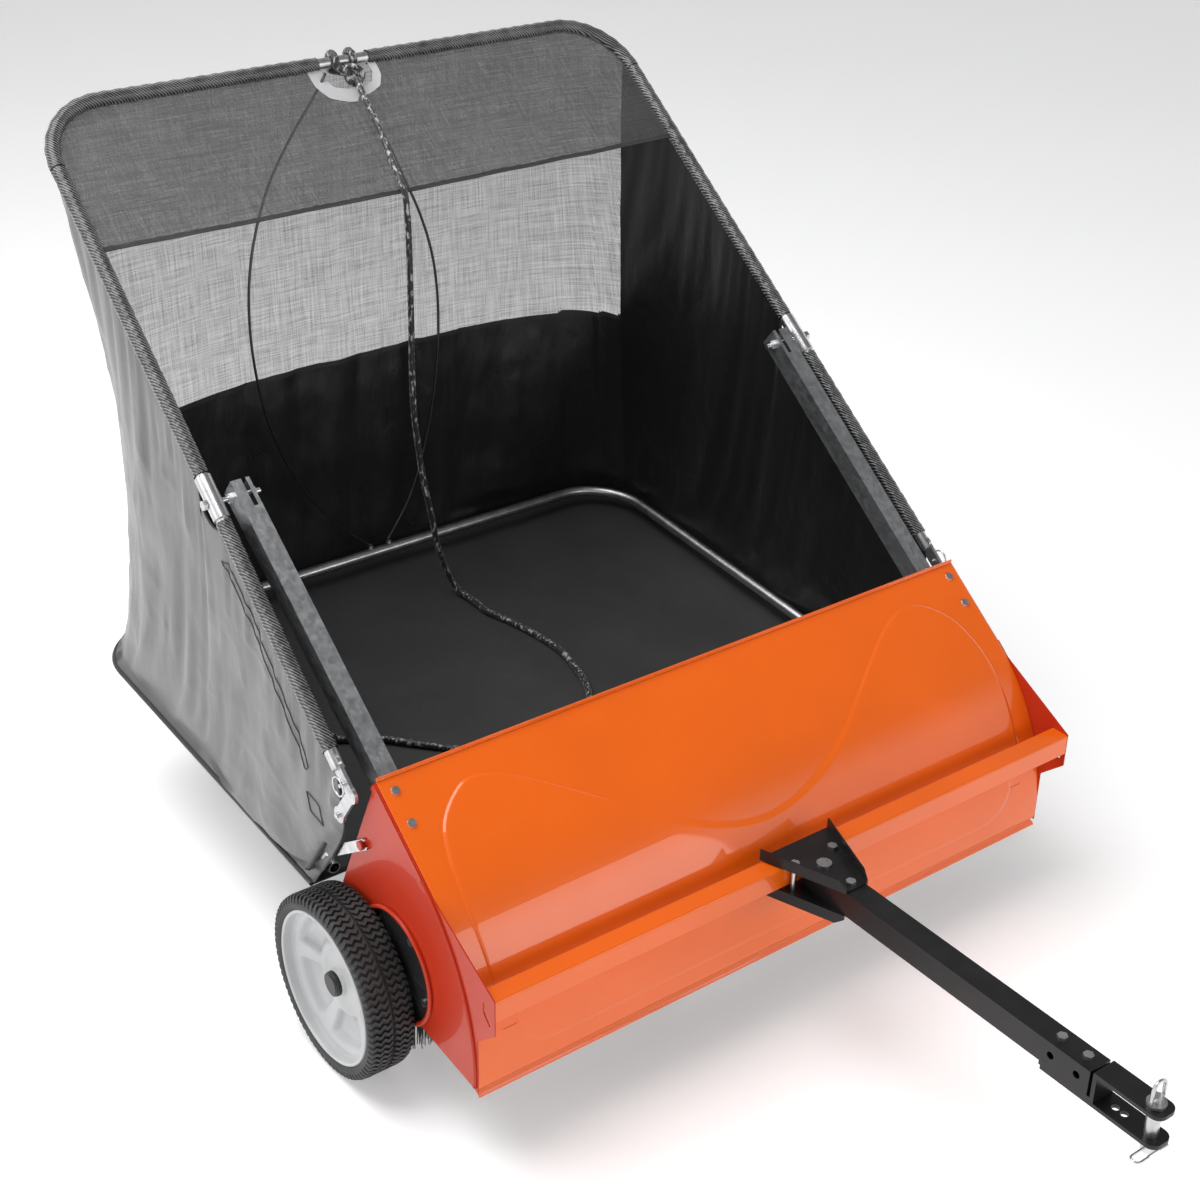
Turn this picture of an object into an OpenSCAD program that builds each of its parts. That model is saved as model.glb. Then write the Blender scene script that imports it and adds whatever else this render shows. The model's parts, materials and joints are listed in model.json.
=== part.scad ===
// Tow-behind lawn sweeper: a sheet-steel housing with a wheel-driven brush, a drawbar with a
// clevis hitch, and a fabric hopper on a tube frame that tips back about two pivot bolts.
// X runs across the machine, -Y is the direction of travel and Z is up from the ground.
// Every outline is drawn about the wheel axle's ground point; from_axle() then moves it so
// that the origin is at the middle of the whole machine's footprint.

/* [Housing] */
// Width of the housing over its side plates
housing_w = 1090; // [1000:10:1200]
// Thickness of the housing sheet
sheet_t = 2; // [1.5:0.5:3]
// Slope of the flat cover, in degrees
cover_slope = 37.4; // [35:0.2:40]
// Radius of the curved front, to the outside of the sheet
drum_r = 318; // [300:1:330]
// Height and depth of the cross bar's section
bar_s = 33; // [28:1:40]
// Radius of the round opening in each side plate
opening_r = 84; // [76:1:88]

/* [Wheels and brush] */
// Outer diameter of the tyres
wheel_d = 280; // [270:2:290]
// Width of the tyres
tyre_w = 72; // [60:1:76]
// Outer diameter of the brush
brush_d = 330; // [300:5:340]
// Teeth of the ring gear inside each wheel
ring_teeth = 78; // [78:1:78]
// Teeth of the pinion at each end of the brush shaft
pinion_teeth = 13; // [13:1:13]
// Gear module
gear_module = 2.5; // [2.5:0.1:2.5]

/* [Drawbar] */
// Side of the square drawbar tube
tongue_s = 38; // [34:1:40]
// Length of the square drawbar tube
tongue_len = 530; // [400:10:700]
// Diameter of the hitch pin
hitch_pin_d = 19; // [16:0.5:20]

/* [Hopper] */
// Diameter of the hopper frame tubes
tube_d = 19; // [16:0.5:22]
// Slope of the hopper mouth, in degrees
mouth_slope = 38; // [36:0.5:40]
// Distance from the pivot bolts up to the top bar
mouth_up = 697; // [600:1:750]
// Half the width between the side tubes at the pivot bolts
mouth_half = 552; // [548:1:556]
// Slope of the hopper floor, in degrees
floor_slope = 4.4; // [3:0.2:6]
// Height of the seam between the skirt and the mesh of the back wall
seam_z = 645; // [500:5:800]
// Diameter of the pull rope
rope_d = 11; // [8:0.5:12]

/* [Hidden] */
$fn = 48;
eps = 0.05;
joint = 0.02;
fit = 0.05;
half_w = housing_w / 2;
inner_w = half_w - sheet_t;

// The origin is midway between the front end of the clevis and the back of the top bar
axle_y = 23.1;

// Cover line: the flat cover meets the drum where they are tangent
cover_rear = [-42.5, 484.6];
cover_n = [-sin(cover_slope), cos(cover_slope)];
cover_along = [-cos(cover_slope), -sin(cover_slope)];
drum_c = [37, 145];
cover_len = (cover_rear - drum_c) * [cos(cover_slope), sin(cover_slope)];
drum_end = 184.3;
lip_in = [-270, 116];
lip_out = [-281, 108.6];

// Cross bar
bar_front = -324;
bar_top = 300;

// Wheel axle, drive and brush axis
axle_z = wheel_d / 2;
axle_r = 9;
wheel_x = half_w + 5 + tyre_w / 2;
rim_r = 118;
ring_pr = gear_module * ring_teeth / 2;
pinion_pr = gear_module * pinion_teeth / 2;
gear_gap = ring_pr - pinion_pr;
gear_w = 18;
drive_dir = 145.5;
brush_y = gear_gap * cos(drive_dir);
brush_z = axle_z + gear_gap * sin(drive_dir);
shaft_r = 8;
opening_y = -85;
opening_z = 205;
hub_flat = 60;

// Hopper frame
pivot_y = 361.5;
pivot_z = 740;
bolt_r = 4;
tube_r = tube_d / 2;
taper = 1.15;
corner_r = 112;
tube_low = -427;
coupler_r = 12.5;
coupler_up = 42;
coupler_down = 28;
bare_half = 46;
sleeve_r = tube_r + 2.5;
floor_y = 850;
floor_z = 256;
floor_half = 548;
floor_front = 150;
floor_rear = 890;
floor_t = 5;
lower_half = 520;
lower_lift = 30;
lower_front = 130;
bag_half = 545;
bag_rear = 893;
bag_r = 150;
bag_t = 2.5;
seam_y = 700;
stop_pin = [-6, 363];
arm_x = 509;
arm_w = 30;
arm_d = 36;
arm_t = 2;
web_x = 9;
notch_half = 45;

// Drawbar
tongue_top = 301.4;
tongue_y = -331;
tongue_z = tongue_top - tongue_s / 2;
tongue_low = tongue_top - tongue_s;
tongue_bolt_y = [-798, -841];
root_bolt_y = [-353, -408];
rear_bolt = [36, -331];
strap_t = 6;
strap_w = 38;
strap_tip = -969;
pin_y = -948;

// Pull rope: knot at the top bar, down over the hood, free to the floor and along it, with
// its end laid to the machine's right-hand front
rope_r = rope_d / 2;
rope_points = [
    [6, 874, 1148], [1, 849, 1131], [-1, 828, 1115], [-3, 801, 1094], [-9, 762, 1063],
    [-14, 729, 1038], [-18, 706, 1022], [-19, 696, 1012], [-19, 691, 999], [-18, 690, 980],
    [-16, 690, 920], [-16, 690, 800], [-17, 690, 650], [-9, 690, 553], [1, 690, 483],
    [12, 690, 429], [24, 692, 368], [40, 697, 316], [51, 699, 290], [59, 697, 270],
    [66, 688, 256], [71, 672, 250], [75, 640, 247], [76, 610, 244],
    [94, 562, 240], [109, 500, 235], [115, 440, 231], [107, 386, 226], [92, 335, 223],
    [60, 285, 219], [0, 250, 217], [-75, 240, 216], [-145, 265, 217], [-200, 309, 220],
    [-245, 353, 224], [-288, 395, 227], [-345, 426, 229]
];
rope_steps = 2;

// ---- Helpers -------------------------------------------------------------------------

module from_axle() {
    translate([0, axle_y, 0]) children();
}

// side is 1 for the machine's left (+X) and -1 for its right
module on_side(side) {
    if (side < 0) mirror([1, 0, 0]) children();
    else children();
}

module both_sides() {
    for (side = [1, -1]) on_side(side) children();
}

// A profile drawn in (y, z), extruded along X from x0 to x1
module across(x0, x1) {
    translate([x0, 0, 0]) rotate([90, 0, 90]) linear_extrude(x1 - x0) children();
}

// A round bar along X
module x_rod(x0, x1, y, z, r) {
    translate([x0, y, z]) rotate([0, 90, 0]) cylinder(r = r, h = x1 - x0);
}

// A hexagon along X, r across its corners
module x_hex(x0, x1, y, z, r) {
    translate([x0, y, z]) rotate([0, 90, 0]) cylinder(r = r, h = x1 - x0, $fn = 6);
}

// A round bar between two points
module rod(p, q, r) {
    d = q - p;
    translate(p)
        rotate([0, acos(d.z / norm(d)), atan2(d.y, d.x)])
            cylinder(r = r, h = norm(d));
}

// The section of a tube
module ring_2d(r, wall) {
    difference() {
        circle(r = r);
        circle(r = r - wall);
    }
}

// A straight tube between two points
module pipe(p, q, r, wall) {
    d = q - p;
    translate(p)
        rotate([0, acos(d.z / norm(d)), atan2(d.y, d.x)])
            linear_extrude(norm(d)) ring_2d(r, wall);
}

// A flat bar in the (y, z) plane from p to q, with an eye of diameter d_eye at each end
module link_2d(p, q, w, d_eye) {
    d = q - p;
    translate(p) rotate(atan2(d.y, d.x)) translate([0, -w / 2]) square([norm(d), w]);
    for (end = [p, q]) translate(end) circle(d = d_eye);
}

// A vertical bolt: a hexagon head on top, shank down to z0 and a nut above z0
module z_bolt(x, y, head_z, z0, r, nut_z) {
    translate([x, y, head_z]) cylinder(r = r * 1.9, h = r * 1.2, $fn = 6);
    translate([x, y, z0]) cylinder(r = r, h = head_z - z0 + eps);
    translate([x, y, nut_z - r * 1.5]) cylinder(r = r * 1.9, h = r * 1.5, $fn = 6);
}

// Lays its children out in the hopper mouth: local y runs up the slope from the pivots
module mouth_plane() {
    translate([0, pivot_y, pivot_z]) rotate([mouth_slope, 0, 0]) children();
}

// Lays its children out on the hopper floor: local y is zero at the lower tube's back
module floor_plane() {
    translate([0, floor_y, floor_z]) rotate([floor_slope, 0, 0]) children();
}

function mouth_z(y) = pivot_z + (y - pivot_y) * tan(mouth_slope);
function floor_top(y) = floor_z + (y - floor_y) * tan(floor_slope);
function mouth_half_at(v) = mouth_half - v * tan(taper);

// ---- Housing -------------------------------------------------------------------------

// Outline of the flat cover and the drum, in (y, z), grown inwards by depth
module shell_band(depth) {
    translate(cover_rear)
        rotate(180 + cover_slope)
            square([cover_len, depth]);
    translate(drum_c)
        intersection() {
            difference() {
                circle(r = drum_r, $fn = 180);
                circle(r = drum_r - depth, $fn = 180);
            }
            polygon([
                [0, 0],
                2 * drum_r * cover_n,
                2 * drum_r * [-1, 0.6],
                2 * drum_r * [cos(drum_end), sin(drum_end)]
            ]);
        }
}

module shell_section() {
    arc_end = drum_c + drum_r * [cos(drum_end), sin(drum_end)];
    shell_band(sheet_t);
    polygon([
        arc_end + [0, 1], arc_end + [sheet_t, 1], lip_in + [sheet_t, 1],
        lip_out + [sheet_t, 0], lip_out, lip_in + [-0.5, 0.5]
    ]);
    translate(cover_rear - [1, 1]) square([sheet_t, 8]);
}

module cover_bolt_at(along) {
    p = cover_rear + along * cover_along;
    translate([523.6, p.x, p.y]) rotate([cover_slope, 0, 0]) children();
}

module housing_shell() {
    color([0.9, 0.38, 0.05]) from_axle() difference() {
        across(-inner_w, inner_w) shell_section();
        both_sides() for (along = [20.5, 70])
            cover_bolt_at(along) translate([0, 0, -10]) cylinder(r = bolt_r + fit, h = 20);
    }
}

// Outline of a side plate with its ear in front of the drum
module side_plate_outline() {
    notch = cover_rear + 179 * cover_along;
    polygon([
        cover_rear, notch, [bar_front, bar_top + 1], [bar_front, 244], [-282, 206],
        [-282, 117], [-134, 134], [-55, 96], [55, 96], [78, 175], [58, 262]
    ]);
}

// The outer lap: a strip under the cover's edge, on the outside of the plate
module side_lap_outline() {
    rear = cover_rear - 3 * cover_n;
    polygon([
        rear, rear + 170 * cover_along, rear + 160 * cover_along - 14 * cover_n,
        rear - 14 * cover_n
    ]);
}

module side_plate(side) {
    color([0.8, 0.22, 0.08]) from_axle() on_side(side) {
        difference() {
            union() {
                across(inner_w, half_w) side_plate_outline();
                across(half_w - 1, half_w + 1.5) side_lap_outline();
                across(half_w - 1, half_w + 3) translate([opening_y, opening_z])
                    circle(r = opening_r + 5, $fn = 96);
            }
            across(inner_w - 1, half_w + 4) translate([opening_y, opening_z])
                circle(r = opening_r, $fn = 96);
            x_rod(inner_w - 1, half_w + 2, 0, axle_z, axle_r);
            across(inner_w - 1, half_w + 2) polygon([
                [-303, 284], [-297, 284], [-297, 268], [-312, 252], [-316, 256], [-303, 269]
            ]);
        }
        x_rod(half_w - 1, half_w + 8, stop_pin.x, stop_pin.y, bolt_r);
        x_rod(half_w + 5.5, half_w + 8, stop_pin.x, stop_pin.y, bolt_r * 1.8);
    }
}

module cross_bar() {
    color([0.92, 0.4, 0.06]) from_axle() across(-inner_w + eps, inner_w - eps) {
        translate([bar_front, bar_top - bar_s]) square([sheet_t, bar_s - 4]);
        translate([bar_front + 4, bar_top - sheet_t]) square([bar_s - 8, sheet_t]);
        translate([bar_front + 4, bar_top - 4]) intersection() {
            difference() {
                circle(r = 4);
                circle(r = 4 - sheet_t);
            }
            translate([-5, 0]) square(5);
        }
        translate([bar_front + bar_s - 5, bar_top - 12]) square([sheet_t, 12]);
    }
}

module cover_bolts() {
    color("silver") from_axle() both_sides() for (along = [20.5, 70])
        cover_bolt_at(along) {
            cylinder(r1 = 7.6, r2 = 6, h = 4.5);
            translate([0, 0, -sheet_t * 2 - 8]) cylinder(r = bolt_r, h = sheet_t * 2 + 8.5);
            translate([0, 0, -sheet_t * 2 - 6.5]) cylinder(r = 7.5, h = 6, $fn = 6);
        }
}

// Local frame of the arms: y runs up the arm from the pivot, z is square to the cover
module arm_plane() {
    translate([0, pivot_y, pivot_z]) rotate([cover_slope, 0, 0]) children();
}

module arm_brackets() {
    drop = 24.5;
    color([0.75, 0.2, 0.08]) from_axle() both_sides() difference() {
        union() {
            cover_bolt_at(45) translate([-19, -38, -2 * sheet_t]) cube([38, 76, sheet_t]);
            cover_bolt_at(45) translate([web_x, -38, -2 * sheet_t - drop - 24])
                cube([sheet_t, 76, drop + 25]);
            for (v = [-25, 25]) cover_bolt_at(45) translate([0.5, v, -42])
                rotate([0, 90, 0]) cylinder(r = 8, h = web_x);
        }
        for (along = [20.5, 70])
            cover_bolt_at(along) translate([0, 0, -10]) cylinder(r = bolt_r + fit, h = 20);
        for (v = [-25, 25]) cover_bolt_at(45) translate([-5, v, -42])
            rotate([0, 90, 0]) cylinder(r = bolt_r + fit, h = 20);
    }
}

module arm(side) {
    low = -596;
    high = 17;
    color([0.62, 0.64, 0.65]) from_axle() on_side(side) difference() {
        arm_plane() difference() {
            translate([arm_x - arm_w / 2, low, -arm_d / 2]) cube([arm_w, high - low, arm_d]);
            translate([arm_x - arm_w / 2 + arm_t, low - 1, -arm_d / 2 - 1])
                cube([arm_w - 2 * arm_t, high - low + 2, arm_d + 1 - arm_t]);
            translate([arm_x - 9, high - 46, 0]) cube([7, 50, arm_d]);
        }
        x_rod(arm_x - arm_w, arm_x + arm_w, pivot_y, pivot_z, bolt_r + fit);
        for (v = [-25, 25]) cover_bolt_at(45) translate([-35, v, -42])
            rotate([0, 90, 0]) cylinder(r = bolt_r + fit, h = 60);
    }
}

module arm_bolts() {
    color("silver") from_axle() both_sides() for (v = [-25, 25])
        cover_bolt_at(45) translate([0, v, -42]) rotate([0, 90, 0]) {
            translate([0, 0, web_x + sheet_t + 0.1]) cylinder(r = 7, h = 4, $fn = 6);
            translate([0, 0, -24]) cylinder(r = bolt_r, h = web_x + 27);
            translate([0, 0, -33]) cylinder(r = 7, h = 3.3, $fn = 6);
            translate([0, 0, -34]) cylinder(r = bolt_r, h = 12);
        }
}

module pivot_bolts() {
    head = mouth_half + coupler_r + 0.4;
    color("silver") from_axle() both_sides() {
        x_hex(head, head + 6, pivot_y, pivot_z, 8);
        x_rod(arm_x - arm_w / 2 - 14, head + eps, pivot_y, pivot_z, bolt_r);
    }
}

module pivot_nuts() {
    color("silver") from_axle() both_sides() {
        for (x = [arm_x + arm_w / 2, arm_x - arm_w / 2 - 6.5]) difference() {
            x_hex(x, x + 6.5, pivot_y, pivot_z, 8);
            x_rod(x - 1, x + 8, pivot_y, pivot_z, bolt_r);
        }
    }
}

// ---- Wheels and drive ----------------------------------------------------------------

module bearing_plate(side) {
    color([0.08, 0.08, 0.09]) from_axle() on_side(side) difference() {
        union() {
            x_rod(inner_w - 3, inner_w, opening_y, opening_z, opening_r + 10);
            x_rod(inner_w - 12, inner_w + 2, brush_y, brush_z, 26);
            for (a = [20 : 40 : 340])
                across(inner_w - eps, inner_w + 1.5)
                    translate([opening_y, opening_z]) rotate(a)
                        translate([40, -2]) square([36, 4]);
        }
        x_rod(inner_w - 14, inner_w + 4, brush_y, brush_z, 14);
        x_rod(inner_w - 14, inner_w + 4, 0, axle_z, axle_r + 14);
        for (a = [40 : 80 : 280]) bearing_screw_hole(a);
    }
}

module bearing_screw_hole(a) {
    x_rod(inner_w - 5, inner_w + 1, opening_y + 70 * cos(a), opening_z + 70 * sin(a), 3);
}

module bearing_screws() {
    color("silver") from_axle() both_sides() for (a = [40 : 80 : 280]) {
        y = opening_y + 70 * cos(a);
        z = opening_z + 70 * sin(a);
        x_rod(inner_w - 6, inner_w + eps, y, z, 3);
        x_rod(inner_w, inner_w + 3.5, y, z, 6);
    }
}

module brush_bushes() {
    color([0.75, 0.6, 0.35]) from_axle() both_sides() difference() {
        union() {
            x_rod(inner_w - 14, inner_w + 4, brush_y, brush_z, 14);
            x_rod(inner_w - 16, inner_w - 12, brush_y, brush_z, 18);
        }
        x_rod(inner_w - 17, inner_w + 5, brush_y, brush_z, shaft_r + fit);
    }
}

module stub_axles() {
    color("silver") from_axle() both_sides() {
        x_rod(inner_w - 14, wheel_x + 9, 0, axle_z, axle_r);
        x_rod(half_w, half_w + 3, 0, axle_z, axle_r + 6);
    }
}

module axle_nuts() {
    color("silver") from_axle() both_sides() difference() {
        x_hex(inner_w - 10, inner_w, 0, axle_z, 16);
        x_rod(inner_w - 11, inner_w + 1, 0, axle_z, axle_r);
    }
}

// Turns (radius, offset from the wheel's middle plane) profiles about the axle
module wheel_turned(side) {
    from_axle() on_side(side)
        translate([wheel_x, 0, axle_z])
            rotate([0, 90, 0])
                rotate_extrude($fn = 120) children();
}

module tyre(side) {
    r = wheel_d / 2;
    w = tyre_w / 2;
    color([0.12, 0.12, 0.13]) wheel_turned(side) difference() {
        union() {
            translate([rim_r, -w + 7]) square([r - rim_r - 6, 2 * w - 14]);
            translate([rim_r, -w + 12]) square([r - rim_r, 2 * w - 24]);
            for (s = [-1, 1]) translate([r - 12, s * (w - 12)]) circle(r = 12);
            for (s = [-1, 1]) translate([rim_r + 6, s * (w - 9)]) circle(r = 7);
        }
        translate([0, -w]) square([rim_r, 2 * w]);
    }
}

module rim_profile() {
    w = tyre_w / 2 - 4;
    translate([rim_r - 5, -w]) square([5, 2 * w]);
    for (s = [-1, 1]) translate([rim_r - 2.45, s * w]) circle(r = 2.4);
    polygon([
        [20, -8], [20, 6], [48, 2], [84, 10], [106, 18], [rim_r - 4, 20],
        [rim_r - 4, 14], [106, 12], [84, 4], [48, -4], [24, -1], [24, -8]
    ]);
    translate([axle_r + fit, -30]) square([15, 42]);
}

module rim(side) {
    color([0.82, 0.83, 0.84]) difference() {
        wheel_turned(side) rim_profile();
        from_axle() on_side(side) translate([wheel_x, 0, axle_z]) rotate([0, 90, 0])
            for (a = [0 : 72 : 288])
                rotate([0, 0, a]) rotate_extrude(angle = 44, $fn = 96)
                    translate([88, 11]) square([14, 3]);
    }
}

// Trapezoidal teeth: the share of the pitch they take at the root and the tip
module gear_2d(teeth, r_root, r_tip, root_share, tip_share) {
    pitch = 360 / teeth;
    polygon([
        for (i = [0 : teeth - 1], k = [
            [r_root, -root_share], [r_tip, -tip_share], [r_tip, tip_share], [r_root, root_share]
        ]) k[0] * [cos(pitch * (i + k[1] / 2)), sin(pitch * (i + k[1] / 2))]
    ]);
}

// Gears stand face to face with the drive line between axle and brush shaft
module ring_gear(side) {
    color([0.15, 0.15, 0.16]) from_axle() on_side(side)
        across(half_w + 8, half_w + 8 + gear_w) translate([0, axle_z]) difference() {
            circle(r = rim_r - 5, $fn = 180);
            rotate(drive_dir)
                gear_2d(ring_teeth, ring_pr - 2.2, ring_pr + 2.8, 0.762, 0.275);
        }
}

module pinions() {
    color("silver") from_axle() both_sides()
        across(half_w + 8, half_w + 8 + gear_w) translate([brush_y, brush_z]) difference() {
            rotate(drive_dir)
                gear_2d(pinion_teeth, pinion_pr - 2.8, pinion_pr + 2.2, 0.56, 0.19);
            circle(r = shaft_r);
        }
}

module hub_cap(side) {
    color([0.06, 0.06, 0.07]) wheel_turned(side) {
        translate([0, 12]) square([19, 4]);
        translate([0, 16 - eps]) square([15, 5]);
        translate([15, 16]) circle(r = 4);
        translate([12, 18]) square([6, 2]);
    }
}

// ---- Brush ---------------------------------------------------------------------------

module brush_shaft() {
    end = half_w + 8 + gear_w;
    color("silver") from_axle() x_rod(-end, end, brush_y, brush_z, shaft_r);
}

module brush_turned(x0, x1) {
    translate([x0, brush_y, brush_z]) rotate([0, 90, 0]) linear_extrude(x1 - x0) children();
}

module brush_hubs() {
    color([0.3, 0.3, 0.32]) from_axle() for (x = [-490, -245, 0, 245, 490])
        brush_turned(x - 2, x + 2) difference() {
            circle(r = hub_flat / cos(30), $fn = 6);
            circle(r = shaft_r);
        }
}

module bristle_channels() {
    color([0.45, 0.46, 0.48]) from_axle() for (a = [30 : 60 : 330])
        brush_turned(-512, 512) rotate(a) difference() {
            translate([hub_flat, -11]) square([12, 22]);
            translate([hub_flat + 2.5, -8]) square([12, 16]);
        }
}

module bristle_rows() {
    color([0.1, 0.1, 0.1]) from_axle() for (a = [30 : 60 : 330])
        brush_turned(-515, 515) rotate(a) difference() {
            translate([hub_flat + 3, -8]) square([brush_d / 2 - hub_flat - 3, 16]);
            for (s = [-1, 1]) translate([hub_flat + 2, s * 8 - 0.3]) square([10.5, 0.6]);
        }
}

// ---- Drawbar -------------------------------------------------------------------------

module tongue_tube() {
    color([0.08, 0.08, 0.08]) from_axle() difference() {
        translate([-tongue_s / 2, tongue_y - tongue_len, tongue_low])
            cube([tongue_s, tongue_len, tongue_s]);
        translate([-tongue_s / 2 + 2.5, tongue_y - tongue_len - 1, tongue_low + 2.5])
            cube([tongue_s - 5, tongue_len + 2, tongue_s - 5]);
        for (y = concat(tongue_bolt_y, root_bolt_y))
            translate([0, y, tongue_low - 1]) cylinder(r = bolt_r + fit, h = tongue_s + 2);
        for (y = tongue_bolt_y) x_rod(-tongue_s, tongue_s, y, tongue_z, 5.5);
    }
}

// Trapezoid plate with a flange along each slanting side; up is 1 above the bar, -1 below
module hitch_bracket(z, up) {
    wide = [64, -289];
    slim = [18, -420];
    t = 2.5;
    lean = atan2(wide.y - slim.y, wide.x - slim.x);
    side_l = norm(wide - slim);
    difference() {
        union() {
            translate([0, 0, z]) linear_extrude(t)
                polygon([wide, slim, [-slim.x, slim.y], [-wide.x, wide.y]]);
            both_sides() translate([slim.x, slim.y, z + (up > 0 ? 0 : t)])
                rotate([0, 0, lean]) rotate([90, 0, 0]) linear_extrude(t)
                    polygon([[0, 0], [side_l, 0], [side_l, 18 * up], [14, 18 * up], [0, 7 * up]]);
        }
        for (s = [-1, 1]) translate([s * rear_bolt.x, rear_bolt.y, z - 1])
            cylinder(r = bolt_r + fit, h = t + 2);
        for (y = root_bolt_y) translate([0, y, z - 1])
            cylinder(r = bolt_r + fit, h = t + 2);
    }
}

module hitch_bracket_top() {
    color([0.08, 0.08, 0.08]) from_axle() hitch_bracket(tongue_top, 1);
}

module hitch_bracket_bottom() {
    color([0.08, 0.08, 0.08]) from_axle() hitch_bracket(tongue_low - 2.5, -1);
}

module bracket_bolts() {
    top = tongue_top + 2.5;
    under = tongue_low - 2.5;
    color("silver") from_axle() {
        for (s = [-1, 1]) z_bolt(s * rear_bolt.x, rear_bolt.y, top, under - 9, bolt_r, under);
        z_bolt(0, root_bolt_y[1], top, under - 9, bolt_r, under);
        translate([0, root_bolt_y[0], top]) cylinder(r = 11, h = 3);
        translate([0, root_bolt_y[0], under - 9]) cylinder(r = bolt_r, h = top - under + 10);
        translate([0, root_bolt_y[0], under - 6]) cylinder(r = 7.6, h = 6, $fn = 6);
    }
}

module tongue_bolts() {
    under = tongue_low - 2 * strap_t;
    color("silver") from_axle() for (y = tongue_bolt_y)
        z_bolt(0, y, tongue_top, under - 10, bolt_r, under);
}

// Front end of a strap: a flat bar with a rounded tip, in plan
module strap_plan(y_back) {
    r = 14;
    translate([-strap_w / 2, strap_tip + r]) square([strap_w, y_back - strap_tip - r]);
    for (s = [-1, 1]) translate([s * (strap_w / 2 - r), strap_tip + r]) circle(r = r);
    translate([-strap_w / 2 + r, strap_tip]) square([strap_w - 2 * r, r + 1]);
}

module clevis_strap_top() {
    bend_y = -866;
    top = 304;
    low = tongue_low - strap_t;
    color([0.08, 0.08, 0.08]) from_axle() difference() {
        union() {
            translate([-strap_w / 2, bend_y, low]) cube([strap_w, 84, strap_t]);
            translate([-strap_w / 2, bend_y - strap_t, low]) cube([strap_w, strap_t + eps, top - low]);
            translate([0, 0, top - strap_t]) linear_extrude(strap_t) strap_plan(bend_y);
        }
        for (y = tongue_bolt_y) translate([0, y, low - 1])
            cylinder(r = bolt_r + fit, h = strap_t + 2);
        translate([0, pin_y, top - strap_t - 1])
            cylinder(r = hitch_pin_d / 2 + fit, h = strap_t + 2);
    }
}

module clevis_strap_bottom() {
    low = tongue_low - 2 * strap_t;
    color([0.08, 0.08, 0.08]) from_axle() difference() {
        translate([0, 0, low]) linear_extrude(strap_t) strap_plan(-785);
        for (y = tongue_bolt_y) translate([0, y, low - 1])
            cylinder(r = bolt_r + fit, h = strap_t + 2);
        for (y = [-893, -907]) translate([0, y, low - 1]) cylinder(r = 5.5, h = strap_t + 2);
        translate([0, pin_y, low - 1])
            cylinder(r = hitch_pin_d / 2 + fit, h = strap_t + 2);
    }
}

pin_head_z = 304.3;
pin_low_z = 232;
clip_z = 238;

module hitch_pin() {
    color("silver") from_axle() difference() {
        translate([0, pin_y, 0]) {
            translate([0, 0, pin_low_z]) cylinder(r = hitch_pin_d / 2, h = pin_head_z - pin_low_z + 1);
            translate([0, 0, pin_head_z]) cylinder(r = 13, h = 5);
            translate([0, 0, pin_head_z + 5 - eps]) cylinder(r = 7, h = 9);
        }
        x_rod(-20, 20, pin_y, pin_head_z + 10, 2.8);
        x_rod(-20, 20, pin_y, clip_z, 2);
    }
}

// Lifting loop, hinged in the pin's head
module pin_ring() {
    z = pin_head_z + 10;
    r = 2.7;
    color("silver") from_axle() translate([0, pin_y, z]) {
        x_rod(-11, 11, 0, 0, r);
        both_sides() {
            translate([11, 0, 0]) sphere(r = r);
            rod([11, 0, 0], [11, 0, 16], r);
        }
        translate([0, 0, 16]) rotate([90, 0, 0]) rotate_extrude(angle = 180)
            translate([11, 0]) circle(r = r);
    }
}

module hairpin() {
    r = 1.6;
    color("silver") from_axle() translate([0, pin_y, clip_z]) {
        x_rod(-30, 24, 0, 0, r);
        translate([-30, -7, 0]) rotate([0, 0, 90]) rotate_extrude(angle = 180)
            translate([7, 0]) circle(r = r);
        x_rod(-30, -16, -14, 0, r);
        x_rod(-17, 6, -13, 0, r);
        x_rod(5, 20, -14, 0, r);
    }
}

// ---- Hopper frame --------------------------------------------------------------------

// Half of the mouth frame above the couplers: a leg, a round corner and half the top bar
module upper_half(r, wall, from_v, from_x) {
    c = [
        mouth_half - corner_r / cos(taper) - (mouth_up - corner_r) * tan(taper),
        mouth_up - corner_r
    ];
    leg_top = c + corner_r * [cos(taper), sin(taper)];
    pipe([mouth_half_at(from_v), from_v, 0], [leg_top.x, leg_top.y - joint, 0], r, wall);
    translate([c.x, c.y, 0]) rotate([0, 0, taper])
        rotate_extrude(angle = 90 - taper, $fn = 96)
            translate([corner_r, 0]) ring_2d(r, wall);
    pipe([from_x, mouth_up, 0], [c.x - joint, mouth_up, 0], r, wall);
}

module upper_tube() {
    color([0.75, 0.76, 0.78]) from_axle() mouth_plane() {
        upper_half(tube_r, 1.5, 8, joint);
        mirror([1, 0, 0]) upper_half(tube_r, 1.5, 8, joint);
    }
}

// The flat end of a side tube, bent back towards the strut
tube_tip = [-7, 451];
strut_top = [28, 400];
clip_at = [8, 461.8];
strut_low = [146, 233.5];

module side_tube(side) {
    x = mouth_half_at(tube_low);
    color([0.75, 0.76, 0.78]) from_axle() on_side(side) difference() {
        union() {
            mouth_plane() rod([mouth_half_at(7.5), 7.5, 0], [x, tube_low, 0], tube_r);
            across(x - 2.5, x + 2.5) difference() {
                union() {
                    link_2d([32, mouth_z(32)], tube_tip, 22, 25);
                    link_2d(tube_tip, strut_top, 19, 25);
                }
                translate(strut_top) circle(r = bolt_r + fit);
                translate(clip_at) circle(r = 3 + fit);
            }
        }
        mouth_plane()
            rod([mouth_half_at(30), 30, 0], [mouth_half_at(-409), -409, 0], tube_r - 1.5);
        x_rod(mouth_half - 20, mouth_half + 20, pivot_y, pivot_z, bolt_r + fit);
    }
}

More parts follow.
